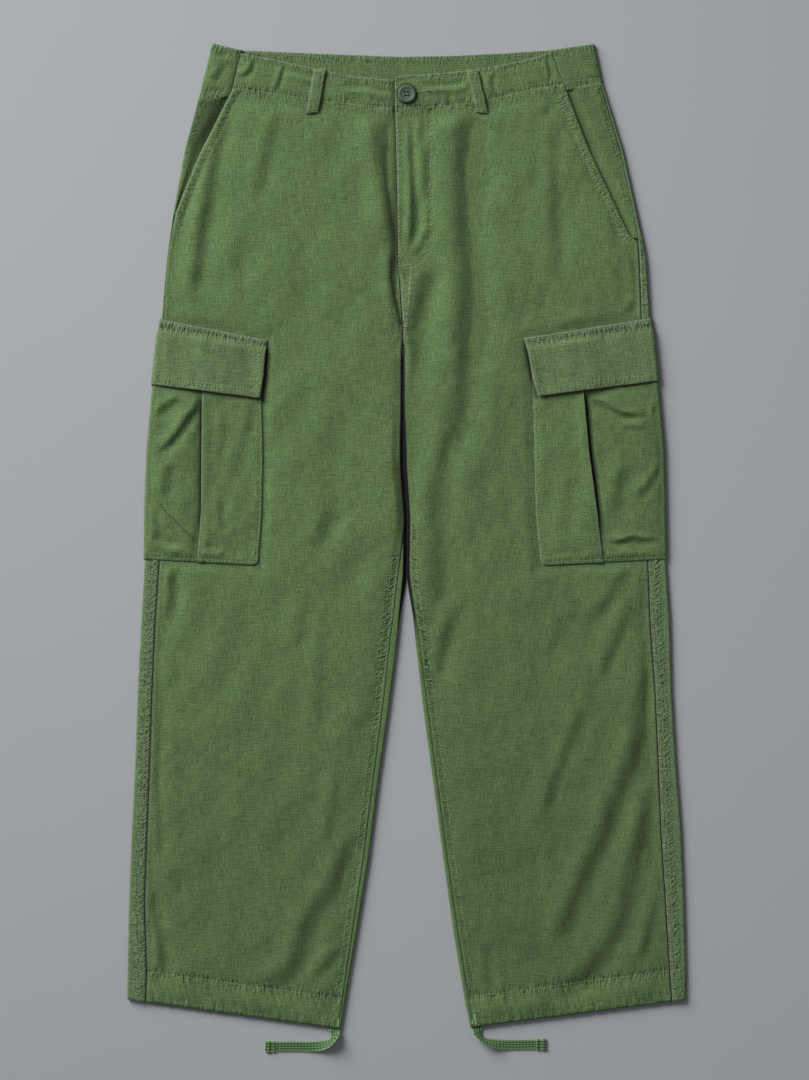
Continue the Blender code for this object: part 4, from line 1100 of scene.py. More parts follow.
def leg_front(side, settings):
    """The front panel: its creases, fly, slanting pocket edge, felled seams and gathered hem casing."""
    leg = FRONTS[side]
    band = BAND_CURVES[side]
    zone = len(EDGE) - 1
    columns = 2 * zone + FRONT_CELLS
    top_line = leg.at(leg.top)

    def place(i, j):
        line = leg.at(mix(leg.top, leg.foot, j / FRONT_ROWS))
        out_step = EDGE[np.clip(i, 0, zone).astype(int)]
        in_step = EDGE[np.clip(columns - i, 0, zone).astype(int)]
        out_x, out_z = round_fold(line.out_fold, leg.toward, line.start + GAP + out_step)
        fold_x, fold_z = round_fold(line.in_fold, -leg.toward, line.in_seam + GAP + in_step)
        in_x = mix(line.in_fold - leg.toward * (0.15 + in_step), fold_x, line.fork)
        in_z = mix(DECK, fold_z, line.fork)
        share = np.clip((i - zone) / FRONT_CELLS, 0, 1)
        x = mix(out_x, in_x, share)
        base = mix(out_z, in_z, share)
        from_out = out_step + abs(x - out_x)
        from_in = in_step + abs(x - in_x)
        y = leg.level(line, x)
        band_y = band.at(x).low_y
        shift = band_y + TUCK - leg.level(top_line, x)
        y = y + shift * (1 - smooth(leg.top - line.out_y, 90))
        above_hem = line.out_y - leg.foot
        above_casing = line.out_y - HEM_STITCH
        opened = smooth(line.start - line.seam - 1, 2)
        clear = clear_of_pocket(leg, x, y)
        calm = smooth(from_out, mix(13, 18, opened)) * smooth(from_in, mix(5, 11, line.fork))
        calm = calm * smooth(band_y - y, 22) * smooth(above_hem, 20) * clear
        full = MM_UP * settings.fullness * smooth(np.minimum(from_out, from_in), 34)
        bulge = line.fork * smooth(y + 130, 90) * smooth(170 - y, 60) * (side == "right")
        full = full + 1.3 * bulge * smooth(from_in, 10) * bell(from_in, 10, 12)
        rise = full + folds("front_" + side, x, y, settings)
        rise = rise + waves("front", side, x, y, settings)
        casing = 0.55 * smooth(-above_casing, 4) - 0.45 * bell(above_casing, 0, 1.5)
        drawn = hem_gathers(x + 0.3 * above_hem, seed_of("hem", side))
        tucks = 0.42 * bell(above_casing, -1, 9) + 0.4 * bell(above_hem, 3, 8) + 0.14 * smooth(-above_casing)
        casing = casing + drawn * tucks * smooth(above_hem, 2)
        casing = (casing + rolled(above_hem, 2.5, 0.7)) * smooth(from_in, 5) * smooth(from_out, 5)
        fly = fly_rise(side, x, y) * (1 - line.fork) * smooth(x + 60, 20) * smooth(90 - x, 30)
        sewn = 1.1 * bell(from_out, 3, 4.5) - 0.4 * bell(from_out, 9.8, 1.6)
        edge = opened * (sewn + rolled(from_out, 1.5, 0.4))
        edge = edge + (1 - opened) * (0.3 * bell(from_out, 2.5, 2) + rolled(from_out, 1.2, 0.3))
        edge = edge + 0.35 * smooth(1 - (band_y - y) / 9) - 0.25 * bell(band_y - y, 0.6, 0.8)
        seam_in = line.fork * smooth(from_in, 3)
        crotch_y = {"right": -12, "left": 22}[side]
        tight = seam_in * bell(from_in, 6, 4.5) * (0.5 + 0.8 * smooth(line.out_y + 240, 120))
        tight = tight * smooth(crotch_y - y, 16)
        # Painted shade: along the seams, beside the cargo pockets and flaps, in the fork, under the fly's lap
        # and, down the legs, for the light's fall-off.
        seam_shade = smooth(321 - line.out_y, 5) if side == "left" else 1
        painted_shade = pocket_shade(leg, x, y) + 0.85 * seam_shade * (1 - opened) * bell(from_out, 0, 0.9)
        painted_shade = painted_shade + 0.8 * line.fork * bell(from_in, 0, 0.9)
        painted_shade = painted_shade + fork_shade(side, x, y) + painted_falloff(side, y) * smooth(above_casing + 3, 6)
        if side == "right":
            under_lap = lapped(y) * (1 - line.fork)
            painted_shade = painted_shade + (0.1 + 0.6 * under_lap) * smooth(x + 17.2, 4.2) * (1 - line.fork)
        y = y + 0.4 * drawn * smooth(1 - above_hem / 9)
        z = base + rise * calm + casing + fly + edge + sewn_dip(leg, x, y)
        return SimpleNamespace(
            x=x,
            y=y,
            z=np.where(base > FOLD_R, np.maximum(z, FRONT_LOW), base),
            u=x,
            wear_and_groove_shade=0.9 * opened * bell(from_out, 0.6, 1)
            + 0.5 * bell(above_hem, 0.5, 1.5)
            + (side == "left") * 0.9 * (1 - line.fork) * bell(from_in, 0.5, 1.2)
            + 0.75 * (1 - opened) * bell(from_out, 2.1, 0.8)
            + 0.5 * line.fork * bell(from_in, 2.1, 0.8)
            + (side == "left") * strip_edge(x, y),
            painted_shade=painted_shade,
            pucker_down=fly_puckers(side, x, y) * (1 - line.fork)
            + clear * leg.toward * (tight - 0.8 * opened * smooth(from_out, 2) * bell(from_out, 7, 5)),
            pucker_across=clear * (1 * bell(above_casing, 0, 5) + 0.4 * bell(above_hem, 4, 8))
            + 0.4 * bell(band_y - y, 2, 7),
        )

    return cloth_sheet(
        f"leg_front_{side}", columns, FRONT_ROWS, place, WALL, settings, f"front_{side}",
    )


def leg_back(side, settings):
    """The back panel: its laps on the top, round both folds and flat on the table between them."""
    leg = BACKS[side]
    other = BACKS["left" if side == "right" else "right"]
    columns = BACK_STRIP + 2 * BACK_ARC + BACK_UNDER + BACK_INNER

    def turned(seam, step, strip):
        flat = mix(seam, np.minimum(0, seam - 1), np.clip(step / strip, 0, 1))
        return mix(flat, UNDER, np.clip((step - strip) / BACK_ARC, 0, 1))

    def place(i, j):
        line = leg.at(mix(leg.top, leg.foot, j / BACK_ROWS))
        k = columns - i
        out_along = turned(line.seam, i, BACK_STRIP)
        in_along = turned(line.in_seam, k, BACK_INNER)
        out_x, out_z = round_fold(line.out_fold, leg.toward, out_along)
        fold_x, fold_z = round_fold(line.in_fold, -leg.toward, in_along)
        flat_x = line.in_fold - leg.toward * (0.15 + np.minimum(k, BACK_INNER + BACK_ARC))
        apart = 0.5 * abs(line.in_fold - other.at(line.out_y).in_fold)
        crotch = line.fork * smooth(line.out_y + 82, 50) * smooth(2.4 - fold_z, 1.2)
        fold_x = fold_x + leg.toward * crotch * np.clip(apart - 0.2, 0, 3)
        in_x, in_z = mix(flat_x, fold_x, line.fork), fold_z * line.fork
        share = np.clip((i - BACK_STRIP - BACK_ARC) / BACK_UNDER, 0, 1)
        x = mix(out_x, in_x, share)
        z = mix(out_z, in_z, share)
        y = leg.level(line, x)
        from_seam = line.seam - out_along
        lap = smooth(line.seam + 1, 6) * smooth(out_along + 2.5, 3)
        edge = np.minimum(abs(x - out_x), abs(x - in_x))
        hollow = smooth(edge, 30) * smooth(line.out_y - leg.foot, 40) * smooth(leg.top - line.out_y, 30)
        above_hem = line.out_y - leg.foot
        above_casing = line.out_y - HEM_STITCH
        top = smooth(out_along + 3, 3) * smooth(share < 0.001)
        tight = lap * (bell(from_seam, 3.5, 2.6) - bell(from_seam, 9.5, 2.8)) * smooth(line.out_y + 515, 20)
        z = z + top * (lap * felled_seam(from_seam) + 0.3 * smooth(-above_casing, 4) * smooth(from_seam, 3))
        z = z + hollow * 0.45 * (1 + np.clip(ripples(x, y, seed_of("back", side)) * 0.5, -1, 1))
        u = np.where(share > 0, leg.toward * (x - out_x), out_along - UNDER)
        u = np.where(share >= 1, leg.toward * (in_x - out_x) + UNDER - in_along, u)
        return SimpleNamespace(
            x=x, y=y, z=z, u=u,
            wear_and_groove_shade=top * (0.6 * bell(from_seam, 0.5, 1) + 0.35 * bell(above_hem, 0.5, 1.5) + 0.4 * lap)
            + 0.35 * bell(out_along, -1.5, 2) * (share <= 0),
            # Painted shade along the felled seam, and near black on the inner fold's cloth in the gap at the
            # fork.
            painted_shade=0.8 * top * lap * bell(from_seam, -0.3, 0.9)
            + 1.6 * line.fork * smooth(line.out_y + 112, 50) * (share >= 1) * (in_along < 0),
            pucker_down=1.15 * tight * top,
            pucker_across=0.5 * top * bell(above_casing, 0, 4.5),
        )

    return cloth_sheet(f"leg_back_{side}", columns, BACK_ROWS, place, WALL, settings, f"back_{side}")


FACING_CELLS = 26
FACING_ROWS = 56


def pocket_facing(side, settings):
    """The side panel in the slanting opening: it runs down under the front's edge."""
    leg = FACINGS[side]
    last = {"right": 353, "left": 327}[side]

    def place(i, j):
        line = leg.at(mix(leg.top, last, j / FACING_ROWS))
        start = line.seam + GAP
        mouth = np.maximum(line.start - 0.8, start + 0.6)
        along = mix(start, mouth + 9, i / FACING_CELLS)
        x, z = round_fold(line.out_fold, leg.toward, along)
        reach = np.minimum(13, 0.7 * (mouth - np.maximum(start, 0)) + 0.3)
        sink = 1.7 * smooth(along - mouth + reach, reach)
        sink = sink - 0.25 * smooth(1 - (leg.top - line.out_y) / 9)
        calm = smooth(along - start, 5) * smooth(mouth - along, 7)
        belly = 1.2 * smooth(along - start - 1, 5) * smooth(mouth - start - 6, 14)
        z = z + belly * (1 - sink / 1.7) - sink + calm * 0.5 * ripples(x, line.out_y, seed_of("facing", side))
        from_seam = along - start
        upper = smooth(line.out_y - 395, 50)
        return SimpleNamespace(
            x=x,
            y=leg.level(line, x) + TUCK * (1 - smooth(leg.top - line.out_y, 8)),
            z=z,
            u=x,
            wear_and_groove_shade=0.4 * bell(from_seam, 0.6, 1),
            # Painted shade: over the upper facing, most on the right one, and darkest at the pocket's mouth
            # under the front's edge.
            painted_shade=(0.72 if side == "right" else 0.15) * upper
            + (0.2 + 0.3 * upper) * smooth(1 - (mouth - along) / 11),
            pucker_down=0.6 * bell(from_seam, 5, 2.5) * smooth(mouth - start - 8, 8),
            pucker_across=0.5 * bell(leg.top - line.out_y, 3, 5),
        )

    return cloth_sheet(
        f"hand_pocket_facing_{side}", FACING_CELLS, FACING_ROWS, place, WALL, settings,
        f"pocket_facing_{side}",
    )


# ---------------------------------------------------------------- cargo pockets

POCKET_CELL = 1.4


def crease_shade_line(x, y, route):
    """Painted shade in a hair-thin line along a crease's route, gone at its ends."""
    line = smooth_route(route, 4)
    away = beside(x, y, line)[0]
    ends = np.minimum(*(np.hypot(x - line[at][0], y - line[at][1]) for at in (0, -1)))
    return bell(away, 0, 0.8) * smooth(ends, 9)


def pocket_outer(side, settings):
    """The outer half of a bellows pocket: it turns down round the leg's side and runs under the pleat."""
    leg = BACKS[side]
    rows = POCKETS[side]
    curves = POCKET_CURVES[side]
    radius = FOLD_R + LAYER
    low = (POCKET_ROUND - 0.5 * math.pi) * radius
    arc = 7
    flat = round((rows[2].pleat + PLEAT_TUCK) / POCKET_CELL)
    count = round((rows[0].out_y - rows[-1].out_y) / POCKET_CELL)

    def place(i, j):
        out_y = mix(rows[0].out_y, rows[-1].out_y, j / count)
        line = curves.at(out_y)
        fold = leg.at(out_y).out_fold
        end = line.pleat - FOLD_R + PLEAT_TUCK
        along = np.where(i <= arc, low * (1 - i / arc), end * (i - arc) / flat)
        x, z = round_fold(fold, leg.toward, along, radius)
        y = mix(out_y, line.in_y, np.clip(abs(x - fold) / line.sewn, 0, 1))
        across = along / (line.pleat - FOLD_R - 1)
        free = smooth(FLAPS[side][-1].out_y - 2 - out_y, 14) * smooth(out_y - rows[-1].out_y, 9)
        pleat_side = line.pleat - FOLD_R - along
        inner = smooth(pleat_side - 1, 8) * smooth(across, 0.1)
        bag = 0.6 + 1.9 * np.sin(math.pi * np.clip(across, 0, 1)) * smooth(out_y + 26, 60)
        rise = bag + folds("pocket_" + side, x, y, settings)
        rise = rise + 0.9 * waves("pocket", side, x, y, settings)
        from_foot = out_y - rows[-1].out_y
        below = lip_height(side, leg.across(x, y)) - y
        gape = smooth(below - (5 if side == "right" else 0), 8) * smooth(out_y + 8, 34)
        shadow = 6 if side == "right" else 8.5
        z = z + np.maximum(rise, -1) * free * inner + rolled(from_foot, 1.6, 0.5)
        z = z - 0.4 * smooth(1 - from_foot / 9) * (along > 0)
        z = z - 0.25 * bell(from_foot, 3.2, 1.2) * (along > -3)
        return SimpleNamespace(
            x=x, y=y, z=z, u=along,
            wear_and_groove_shade=0.8 * bell(from_foot, 0.4, 1.2) + 0.3 * bell(along, -2, 2.5),
            # Painted shade: in the crevice beside the pleat, under the flap's lip, a little over the whole
            # piece and along the old folds.
            painted_shade=(0.3 + 1.25 * gape) * smooth(1 - pleat_side / shadow) + 0.7 * smooth(1 - below / 3)
            + 0.08
            + sum(dark * crease_shade_line(x, y, route) for dark, route in POCKET_LINES[side]),
            pucker_across=0.5 * bell(from_foot, 3, 4),
        )

    return cloth_sheet(
        f"cargo_pocket_outer_{side}", arc + flat, count, place, WALL, settings,
        f"cargo_pocket_{side}",
    )


def pocket_pleat(side, settings):
    """The inner half of a bellows pocket: the cloth turns back on itself along the pleat."""
    leg = BACKS[side]
    rows = POCKETS[side]
    curves = POCKET_CURVES[side]
    back, arc = 3, 7
    flat = round((rows[2].sewn - rows[2].pleat) / POCKET_CELL) + 4
    count = round((rows[0].out_y - rows[-1].out_y) / POCKET_CELL)
    low = DECK + LAYER + 0.1

    def place(i, j):
        out_y = mix(rows[0].out_y, rows[-1].out_y, j / count)
        line = curves.at(out_y)
        fold = leg.at(out_y).out_fold
        angle = math.pi * np.clip((i - back) / arc, 0, 1)
        under = PLEAT_BACK * np.clip(1 - i / back, 0, 1)
        top = np.clip((i - back - arc) / flat, 0, 1) * (line.sewn - line.pleat - PLEAT_FOLD_R)
        away = PLEAT_FOLD_R * (1 - np.sin(angle)) + under + top
        across = line.pleat + away
        x = fold + leg.toward * across
        y = mix(out_y, line.in_y, np.clip(across / line.sewn, 0, 1))
        ridge = low + PLEAT_FOLD_R * (1 - np.cos(angle))
        z = mix(ridge, DECK + LAYER - 0.3, smooth(away - 3, 0.9 * (line.sewn - line.pleat)))
        on_top = angle >= math.pi
        from_sewn = line.sewn - across
        from_foot = out_y - rows[-1].out_y
        gape = smooth(FLAPS[side][-1].out_y - out_y, 20) * smooth(out_y - 5, 60)
        free = smooth(FLAPS[side][-1].out_y - 4 - out_y, 12) * smooth(from_foot, 9)
        calm = free * smooth(from_sewn, 9) * smooth(away, 8)
        rise = 0.4 + folds("pleat_" + side, x, y, settings)
        rise = rise + 0.8 * waves("pleat", side, x, y, settings)
        z = z + on_top * (np.maximum(rise, -1) * calm + rolled(from_sewn, 1.5, 0.5))
        z = z + gape * (1.1 if side == "right" else 2.2) * smooth(1 - away / 14)
        below = lip_height(side, across) - y
        z = mix(z, DECK + LAYER - 0.2 + 0.35 * on_top, 0.9 * smooth(1 - from_foot / 12))
        y = y + on_top * 3.5 * smooth(1 - from_sewn / 4.5) * smooth(1 - from_foot / 10)
        z = z + on_top * (rolled(from_foot, 1.6, 0.5) - 0.3 * bell(from_sewn, 2.6, 1))
        z = z - on_top * 0.25 * bell(from_foot, 3.2, 1.2)
        return SimpleNamespace(
            x=x, y=y, z=z, u=np.where(on_top, x, x - leg.toward * 2 * under),
            wear_and_groove_shade=1 * bell(angle, 0.5 * math.pi, 1) * (away < 2)
            + 0.8 * on_top * bell(away, 0.8, 1.1)
            + on_top * (0.8 * bell(from_sewn, 0.5, 1) + 0.8 * bell(from_foot, 0.4, 1.2)),
            # Painted shadow under the flap's lip.
            painted_shade=0.7 * on_top * smooth(1 - below / 3),
            pucker_down=0.3 * on_top * bell(from_sewn, 4, 2.5),
            pucker_across=0.5 * on_top * bell(from_foot, 3, 4),
        )

    return cloth_sheet(
        f"cargo_pocket_pleat_{side}", back + arc + flat, count, place, PLEAT_THICK, settings,
        f"cargo_pleat_{side}",
    )


FLAP_TOP_STITCH = 8.2  # from the flap's top edge to its lower stitch row


def lip_height(side, across):
    """Height of a flap's lower edge a distance in from the leg's outer fold."""
    lip = FLAPS[side][-1]
    return slanted(lip, across / lip.width)


def pocket_flap(side, settings):
    """A flap: sewn down at its top, it lies over the pocket and turns down round the leg's side."""
    leg = BACKS[side]
    rows = FLAPS[side]
    curves = FLAP_CURVES[side]
    pleat = POCKETS[side][1].pleat
    arc = 7
    flat = round(rows[0].width / POCKET_CELL)
    count = 72
    over = LAYER + 1.3

    def place(i, j):
        out_y = mix(rows[0].out_y, rows[-1].out_y, j / count)
        line = curves.at(out_y)
        fold = leg.at(out_y).out_fold
        raised = smooth(rows[0].out_y - FLAP_TOP_STITCH - out_y + 1, 11)
        radius = FOLD_R + GAP + FLAP_WALL + LAYER * raised
        low = (FLAP_ROUND - 0.5 * math.pi) * radius
        across = FOLD_R + (line.width - FOLD_R) * (i - arc) / flat
        along = np.where(i <= arc, low * (1 - i / arc), across - FOLD_R)
        angle = 0.5 * math.pi + np.minimum(along, 0) / radius
        x = fold + leg.toward * (FOLD_R + np.maximum(along, 0) - radius * np.cos(angle))
        z = FOLD_R + radius * np.sin(angle)
        reach = np.maximum(along, 0) + FOLD_R
        climb = smooth(reach - pleat + 34, 32)
        settle = 0.8 * smooth(reach - pleat - 8, 50)
        from_lip = out_y - rows[-1].out_y
        from_top = rows[0].out_y - out_y
        from_side = line.width - reach
        y = mix(out_y, line.in_y, np.clip(abs(x - fold) / line.width, 0, 1))
        ripple = waves("flap", side, x, y, settings)
        calm = smooth(from_lip, 9) * smooth(from_side, 9) * smooth(from_top - 8, 8) * smooth(along, 8)
        lift = over * climb * (1 - settle)
        free_side = smooth(from_top - 9, 16) * smooth(1 - from_side / 15)
        lip = smooth(1 - from_lip / 16) * smooth(along, 10)
        z = z + raised * (lift + 1 * free_side + 1.1 * lip) + 0.8 * ripple * calm
        z = z + rolled(from_lip, 2, 0.5) + rolled(from_side, 2, 0.5) + rolled(from_top, 1.8, 0.6)
        grooves = bell(from_top, FLAP_TOP_STITCH, 1.3) + 0.7 * bell(from_side, 9, 1.2) * (from_top > 8)
        z = z - 0.4 * (grooves + 0.7 * bell(from_lip, 9, 1.3)) * (along > 0)
        return SimpleNamespace(
            x=x, y=y, z=z, u=along,
            wear_and_groove_shade=0.9 * bell(from_lip, 0.5, 1.2)
            + 0.9 * bell(from_side, 0.5, 1.2)
            + 0.8 * bell(from_top, 2, 1.1)
            + 0.35 * bell(from_top, 5, 3)
            + 0.2,
            # Painted shade along the top edge and in the groove of the lower top stitch row.
            painted_shade=0.6 * bell(from_top, 0, 0.8) + 0.45 * bell(from_top, FLAP_TOP_STITCH, 0.9),
            pucker_down=0.45 * bell(from_side, 7, 3.5) * smooth(from_top - 6, 6),
            pucker_across=1.1 * bell(from_top, 8, 4.5) + 0.45 * bell(from_lip, 6, 5),
        )

    return cloth_sheet(
        f"cargo_pocket_flap_{side}", arc + flat, count, place, FLAP_WALL, settings,
        f"cargo_flap_{side}",
    )


# ---------------------------------------------------------------- waistband

BAND_CELL = 1.3
BAND_STITCH = 3.3  # from an edge of the band to its stitch row


def band_padding(from_edge):
    """The doubled band between its stitched edges."""
    padding = 0.6 * smooth(from_edge - BAND_STITCH, 9) - 0.35 * bell(from_edge, BAND_STITCH, 1)
    return padding + rolled(from_edge, 1.6, 0.45)


def front_band(side, settings):
    """A front waistband piece, with the left one's rounded end lapped over the right one."""
    curves = BAND_CURVES[side]
    rows = FRONT_BANDS[side]
    columns = round(abs(rows[-1].low_x - rows[0].low_x) / BAND_CELL)
    count = 30
    corner = 6 if side == "left" else 0

    def place(i, j):
        low_x = mix(rows[0].low_x, rows[-1].low_x, i / columns)
        line = curves.at(low_x)
        share = j / count
        x = mix(line.top_x, low_x, share)
        from_fly = x + 12.4
        short = np.clip(corner - from_fly, 0, corner)
        top_y = line.top_y - (corner - np.sqrt(corner**2 - short**2))
        y = mix(top_y, line.low_y, share)
        tall = line.top_y - line.low_y
        from_top, from_low = share * tall, (1 - share) * tall
        from_end = np.minimum(abs(low_x - rows[0].low_x), abs(low_x - rows[-1].low_x))
        from_edge = np.minimum(np.minimum(from_top, from_low), from_end + 1.6)
        from_button = np.hypot(x - BUTTON_AT[0], y - BUTTON_AT[1])
        lap = LAP_LIFT * smooth(1 - (x + 12) / LAP_WIDTH) if side == "left" else -0.7 * smooth(x + 20, 8)
        calm = smooth(from_edge, 6)
        ripple = waves("band", side, 1.8 * x, 0.6 * y, settings)
        rise = folds("band_" + side, x, y, settings) + 0.5 * ripple
        z = DECK + BAND_LIFT + lap + band_padding(from_edge) + rise * calm
        return SimpleNamespace(
            x=x, y=y, z=z, u=x,
            wear_and_groove_shade=0.9 * bell(from_top, 0.5, 1.2)
            + 0.35 * bell(from_low, 0.5, 1.2)
            + (side == "left") * 0.9 * bell(from_fly, 0.5, 1.3),
            # Painted shade along the top stitch row, in a ring round the button and, on the right band, under
            # the left band's lap.
            painted_shade=0.3 * bell(from_top, 3.2, 1)
            + 1.2 * bell(from_button, MM_UP * settings.button_radius + 0.6, 1.5)
            + (side == "right") * 0.8 * smooth(x + 18, 4.5),
            pucker_across=0.6 * bell(from_top, 3.5, 4) + 0.75 * bell(from_low, 3, 5) + 0.1,
        )

    return cloth_sheet(
        f"front_band_{side}", columns, count, place, BAND_WALL, settings, f"waistband_front_{side}",
    )


BAND_TURN = 16
BAND_MIDDLE = 250
BAND_TALL = 40


def back_band(settings):
    """The back waistband lies on the table with its inner face up, and both its ends turn up round the
    sides to the front bands."""
    columns = 2 * BAND_TURN + BAND_MIDDLE
    count = 26

    def end_place(side, share, height):
        """share runs from the end's front edge, over the fold, to the underside."""
        end = BAND_ENDS[side]
        toward = TOWARD[side]
        edge_x, edge_y = (np.interp(height, BAND_HEIGHTS, values) for values in zip(*end.edge))
        fold_x, fold_y = (mix(top, low, height) for top, low in zip(*end.fold))
        start = toward * (edge_x - fold_x) - FOLD_R + TUCK
        along = np.where(share < 0.5, mix(start, 0, 2 * share), -(2 * share - 1) * math.pi * FOLD_R)
        x, z = round_fold(fold_x, toward, along)
        slope = np.where(share < 0.5, np.clip((x - fold_x) / (edge_x - fold_x), 0, 1), 0)
        return x, mix(fold_y, edge_y, slope), z, along, start

    def place(i, j):
        height = j / count
        k = columns - i
        right = end_place("right", np.clip(i / BAND_TURN, 0, 1), height)
        left = end_place("left", np.clip(k / BAND_TURN, 0, 1), height)
        share = np.clip((i - BAND_TURN) / BAND_MIDDLE, 0, 1)
        x = mix(right[0], left[0], share)
        line = BACK_BAND_CURVES.at(x)
        between = smooth(np.minimum(share, 1 - share), 0.05)
        y = mix(mix(right[1], left[1], share), mix(line.top_y, line.low_y, height), between)
        z = mix(right[2], left[2], share)
        from_top, from_low = height * BAND_TALL, (1 - height) * BAND_TALL
        on_end = np.maximum(i < BAND_TURN, k < BAND_TURN)
        along = np.where(i < BAND_TURN, right[3], left[3])
        from_edge = np.where(i < BAND_TURN, right[4], left[4]) - along
        on_top = on_end * smooth(along + 2, 3)
        calm = smooth(from_top, 6) * smooth(from_low, 6)
        rise = folds("back_band", x, y, settings) * calm
        ripple = waves("back_band", "right", 1.6 * x, y, settings)
        lift = 0.5 - 1.35 * smooth(1 - from_edge / 6.5)
        z = z + on_top * (lift + rise + band_padding(np.minimum(from_top, from_low)) + 0.4 * ripple * calm)
        under = 1 - on_end
        z = z + under * smooth(np.minimum(share, 1 - share), 0.04) * calm * np.maximum(0.4 * ripple + 0.5, 0)
        return SimpleNamespace(
            x=x, y=y, z=z, u=np.where(on_end, along, x),
            wear_and_groove_shade=0.7 * bell(from_top, 0.5, 1.3) + 0.4 * on_top * bell(from_edge, 0.5, 1),
            # Painted shade along the top stitch row and the turned-up ends' edges.
            painted_shade=0.3 * bell(from_top, 3.2, 1) + 0.2 * on_top * bell(from_edge, 0, 1.2),
            pucker_across=0.6 * bell(from_top, 3.5, 4) + 0.6 * on_top * bell(from_low, 3, 5) + 0.12,
        )

    return cloth_sheet(
        "back_band", columns, count, place, BAND_WALL, settings, "waistband_back",
        inside=True,
    )


LOOP_COLUMNS, LOOP_ROWS = 14, 46
LOOP_LENGTH = 49
LOOP_LEAN = 0.13


def belt_loop(side, settings):
    """A belt loop, sewn down at both ends and arched a little between them."""
    ends = LOOPS[side]
    lean = TOWARD[side]

    def place(i, j):
        share = j / LOOP_ROWS
        across = LOOP_WIDTH * (i / LOOP_COLUMNS - 0.5)
        x = mix(ends.top_x, ends.low_x, share) + across
        y = mix(ends.top_y, ends.low_y, share) + lean * across * LOOP_LEAN
        from_side = 0.5 * LOOP_WIDTH - abs(across)
        from_end = LOOP_LENGTH * np.minimum(share, 1 - share)
        arch = 1.3 * smooth(from_end, 9) + 0.15 * np.sin(0.42 * LOOP_LENGTH * share + 0.5 * lean)
        crown = 0.35 * smooth(from_side, 5) + rolled(from_side, 1.2, 0.45) - 0.25 * bell(from_side, 2.3, 0.7)
        z = DECK + BAND_LIFT + GAP + LOOP_WALL + arch + crown + rolled(from_end, 1.2, 0.5)
        return SimpleNamespace(
            x=x, y=y, z=z, u=x,
            wear_and_groove_shade=0.8 * bell(from_side, 0.5, 1) + 0.5 * bell(from_end, 0.5, 1.5) + 0.15,
            pucker_across=0.2 + 0.5 * bell(from_end, 5, 4),
            pucker_down=0.35 * bell(from_side, 2.5, 1.5),
        )

    return cloth_sheet(
        f"belt_loop_cloth_{side}", LOOP_COLUMNS, LOOP_ROWS, place, LOOP_WALL, settings,
        f"belt_loop_{side}",
    )


# ---------------------------------------------------------------- button

BUTTON_STEPS = 64
HOLE_SPREAD = 2.25  # from the button's middle to a hole's
HOLE_R = 1.3
BUTTON_TURN = 6  # degrees that the button is turned as it is sewn


def turned_button(settings):
    """Half of the button's profile spun round its axis, with four holes bored through it."""
    radius = MM_UP * settings.button_radius
    profile = (
        (0, 2.35), (3.6, 2.35), (5.2, 2.45), (6.5, 2.75), (7.3, 3.15), (8.1, 3.3), (8.9, 3.22),
        (9.55, 2.85), (9.9, 2.25), (10, 1.6), (9.75, 0.95), (9, 0.4), (7.6, 0.1), (0, 0),
    )
    bm = bmesh.new()
    verts = [bm.verts.new((r * radius / 10 * MM, 0, (BUTTON_BASE + z) * MM)) for r, z in profile]
    edges = [bm.edges.new(pair) for pair in zip(verts, verts[1:])]
    bmesh.ops.spin(
        bm, geom=verts + edges, cent=(0, 0, 0), axis=(0, 0, 1), angle=2 * math.pi, steps=BUTTON_STEPS,
        use_merge=True,
    )
    bmesh.ops.remove_doubles(bm, verts=bm.verts, dist=1e-6)
    bmesh.ops.recalc_face_normals(bm, faces=bm.faces)
    bmesh.ops.translate(bm, verts=bm.verts, vec=(BUTTON_AT[0] * MM, BUTTON_AT[1] * MM, 0))
    blank = placed("button_blank", kept("fly_button", bm))
    bm = bmesh.new()
    for x, y in hole_places():
        made = bmesh.ops.create_cone(
            bm, cap_ends=True, segments=20, radius1=HOLE_R * MM, radius2=HOLE_R * MM, depth=12 * MM
        )
        bmesh.ops.translate(bm, verts=made["verts"], vec=(x * MM, y * MM, BUTTON_BASE * MM))
    drill = placed("button_drill", kept("button_drill", bm))
    cut = blank.modifiers.new("Holes", "BOOLEAN")
    cut.operation = "DIFFERENCE"
    cut.object = drill
    bored = baked(blank, "fly_button_mesh")
    for made in (blank, drill):
        bpy.data.objects.remove(made, do_unlink=True)
    return show(smooth_by_angle(bored), "fly_button", "button_finish", settings, ("button",))


def hole_places():
    """The four holes' centres, a little turned as the button is sewn."""
    turns = [math.radians(45 + BUTTON_TURN) + 0.5 * math.pi * corner for corner in range(4)]
    x, y = BUTTON_AT
    return [(x + HOLE_SPREAD * math.cos(turn), y + HOLE_SPREAD * math.sin(turn)) for turn in turns]


def baked(piece, name):
    """The mesh of an object with its modifiers applied."""
    made = bpy.data.meshes.new_from_object(piece.evaluated_get(bpy.context.evaluated_depsgraph_get()))
    made.name = name
    return made


def smooth_by_angle(mesh):
    """Smooth shading that keeps the sharp edges."""
    mesh.shade_smooth()
    mesh.set_sharp_from_angle(angle=math.radians(40))
    return mesh


# ---------------------------------------------------------------- drawcords

TAPE_FACE, TAPE_SIDE = 28, 4
TAPE_STEPS = 8
TAPE_RIBS = 4
TAPE_THICK = 1.25
TIP_LENGTH = TIP_WIDTH = 11.6


def tape_frames(route):
    """Each point's own directions: across the tape and out of its face."""
    along = np.gradient(route[:, :3], axis=0)
    along /= np.linalg.norm(along, axis=1, keepdims=True)
    level = np.stack([-along[:, 1], along[:, 0], np.zeros(len(route))], axis=1)
    level /= np.linalg.norm(level, axis=1, keepdims=True)
    up = np.cross(along, level)
    roll = np.radians(route[:, 3:4])
    return np.cos(roll) * level + np.sin(roll) * up, np.cos(roll) * up - np.sin(roll) * level


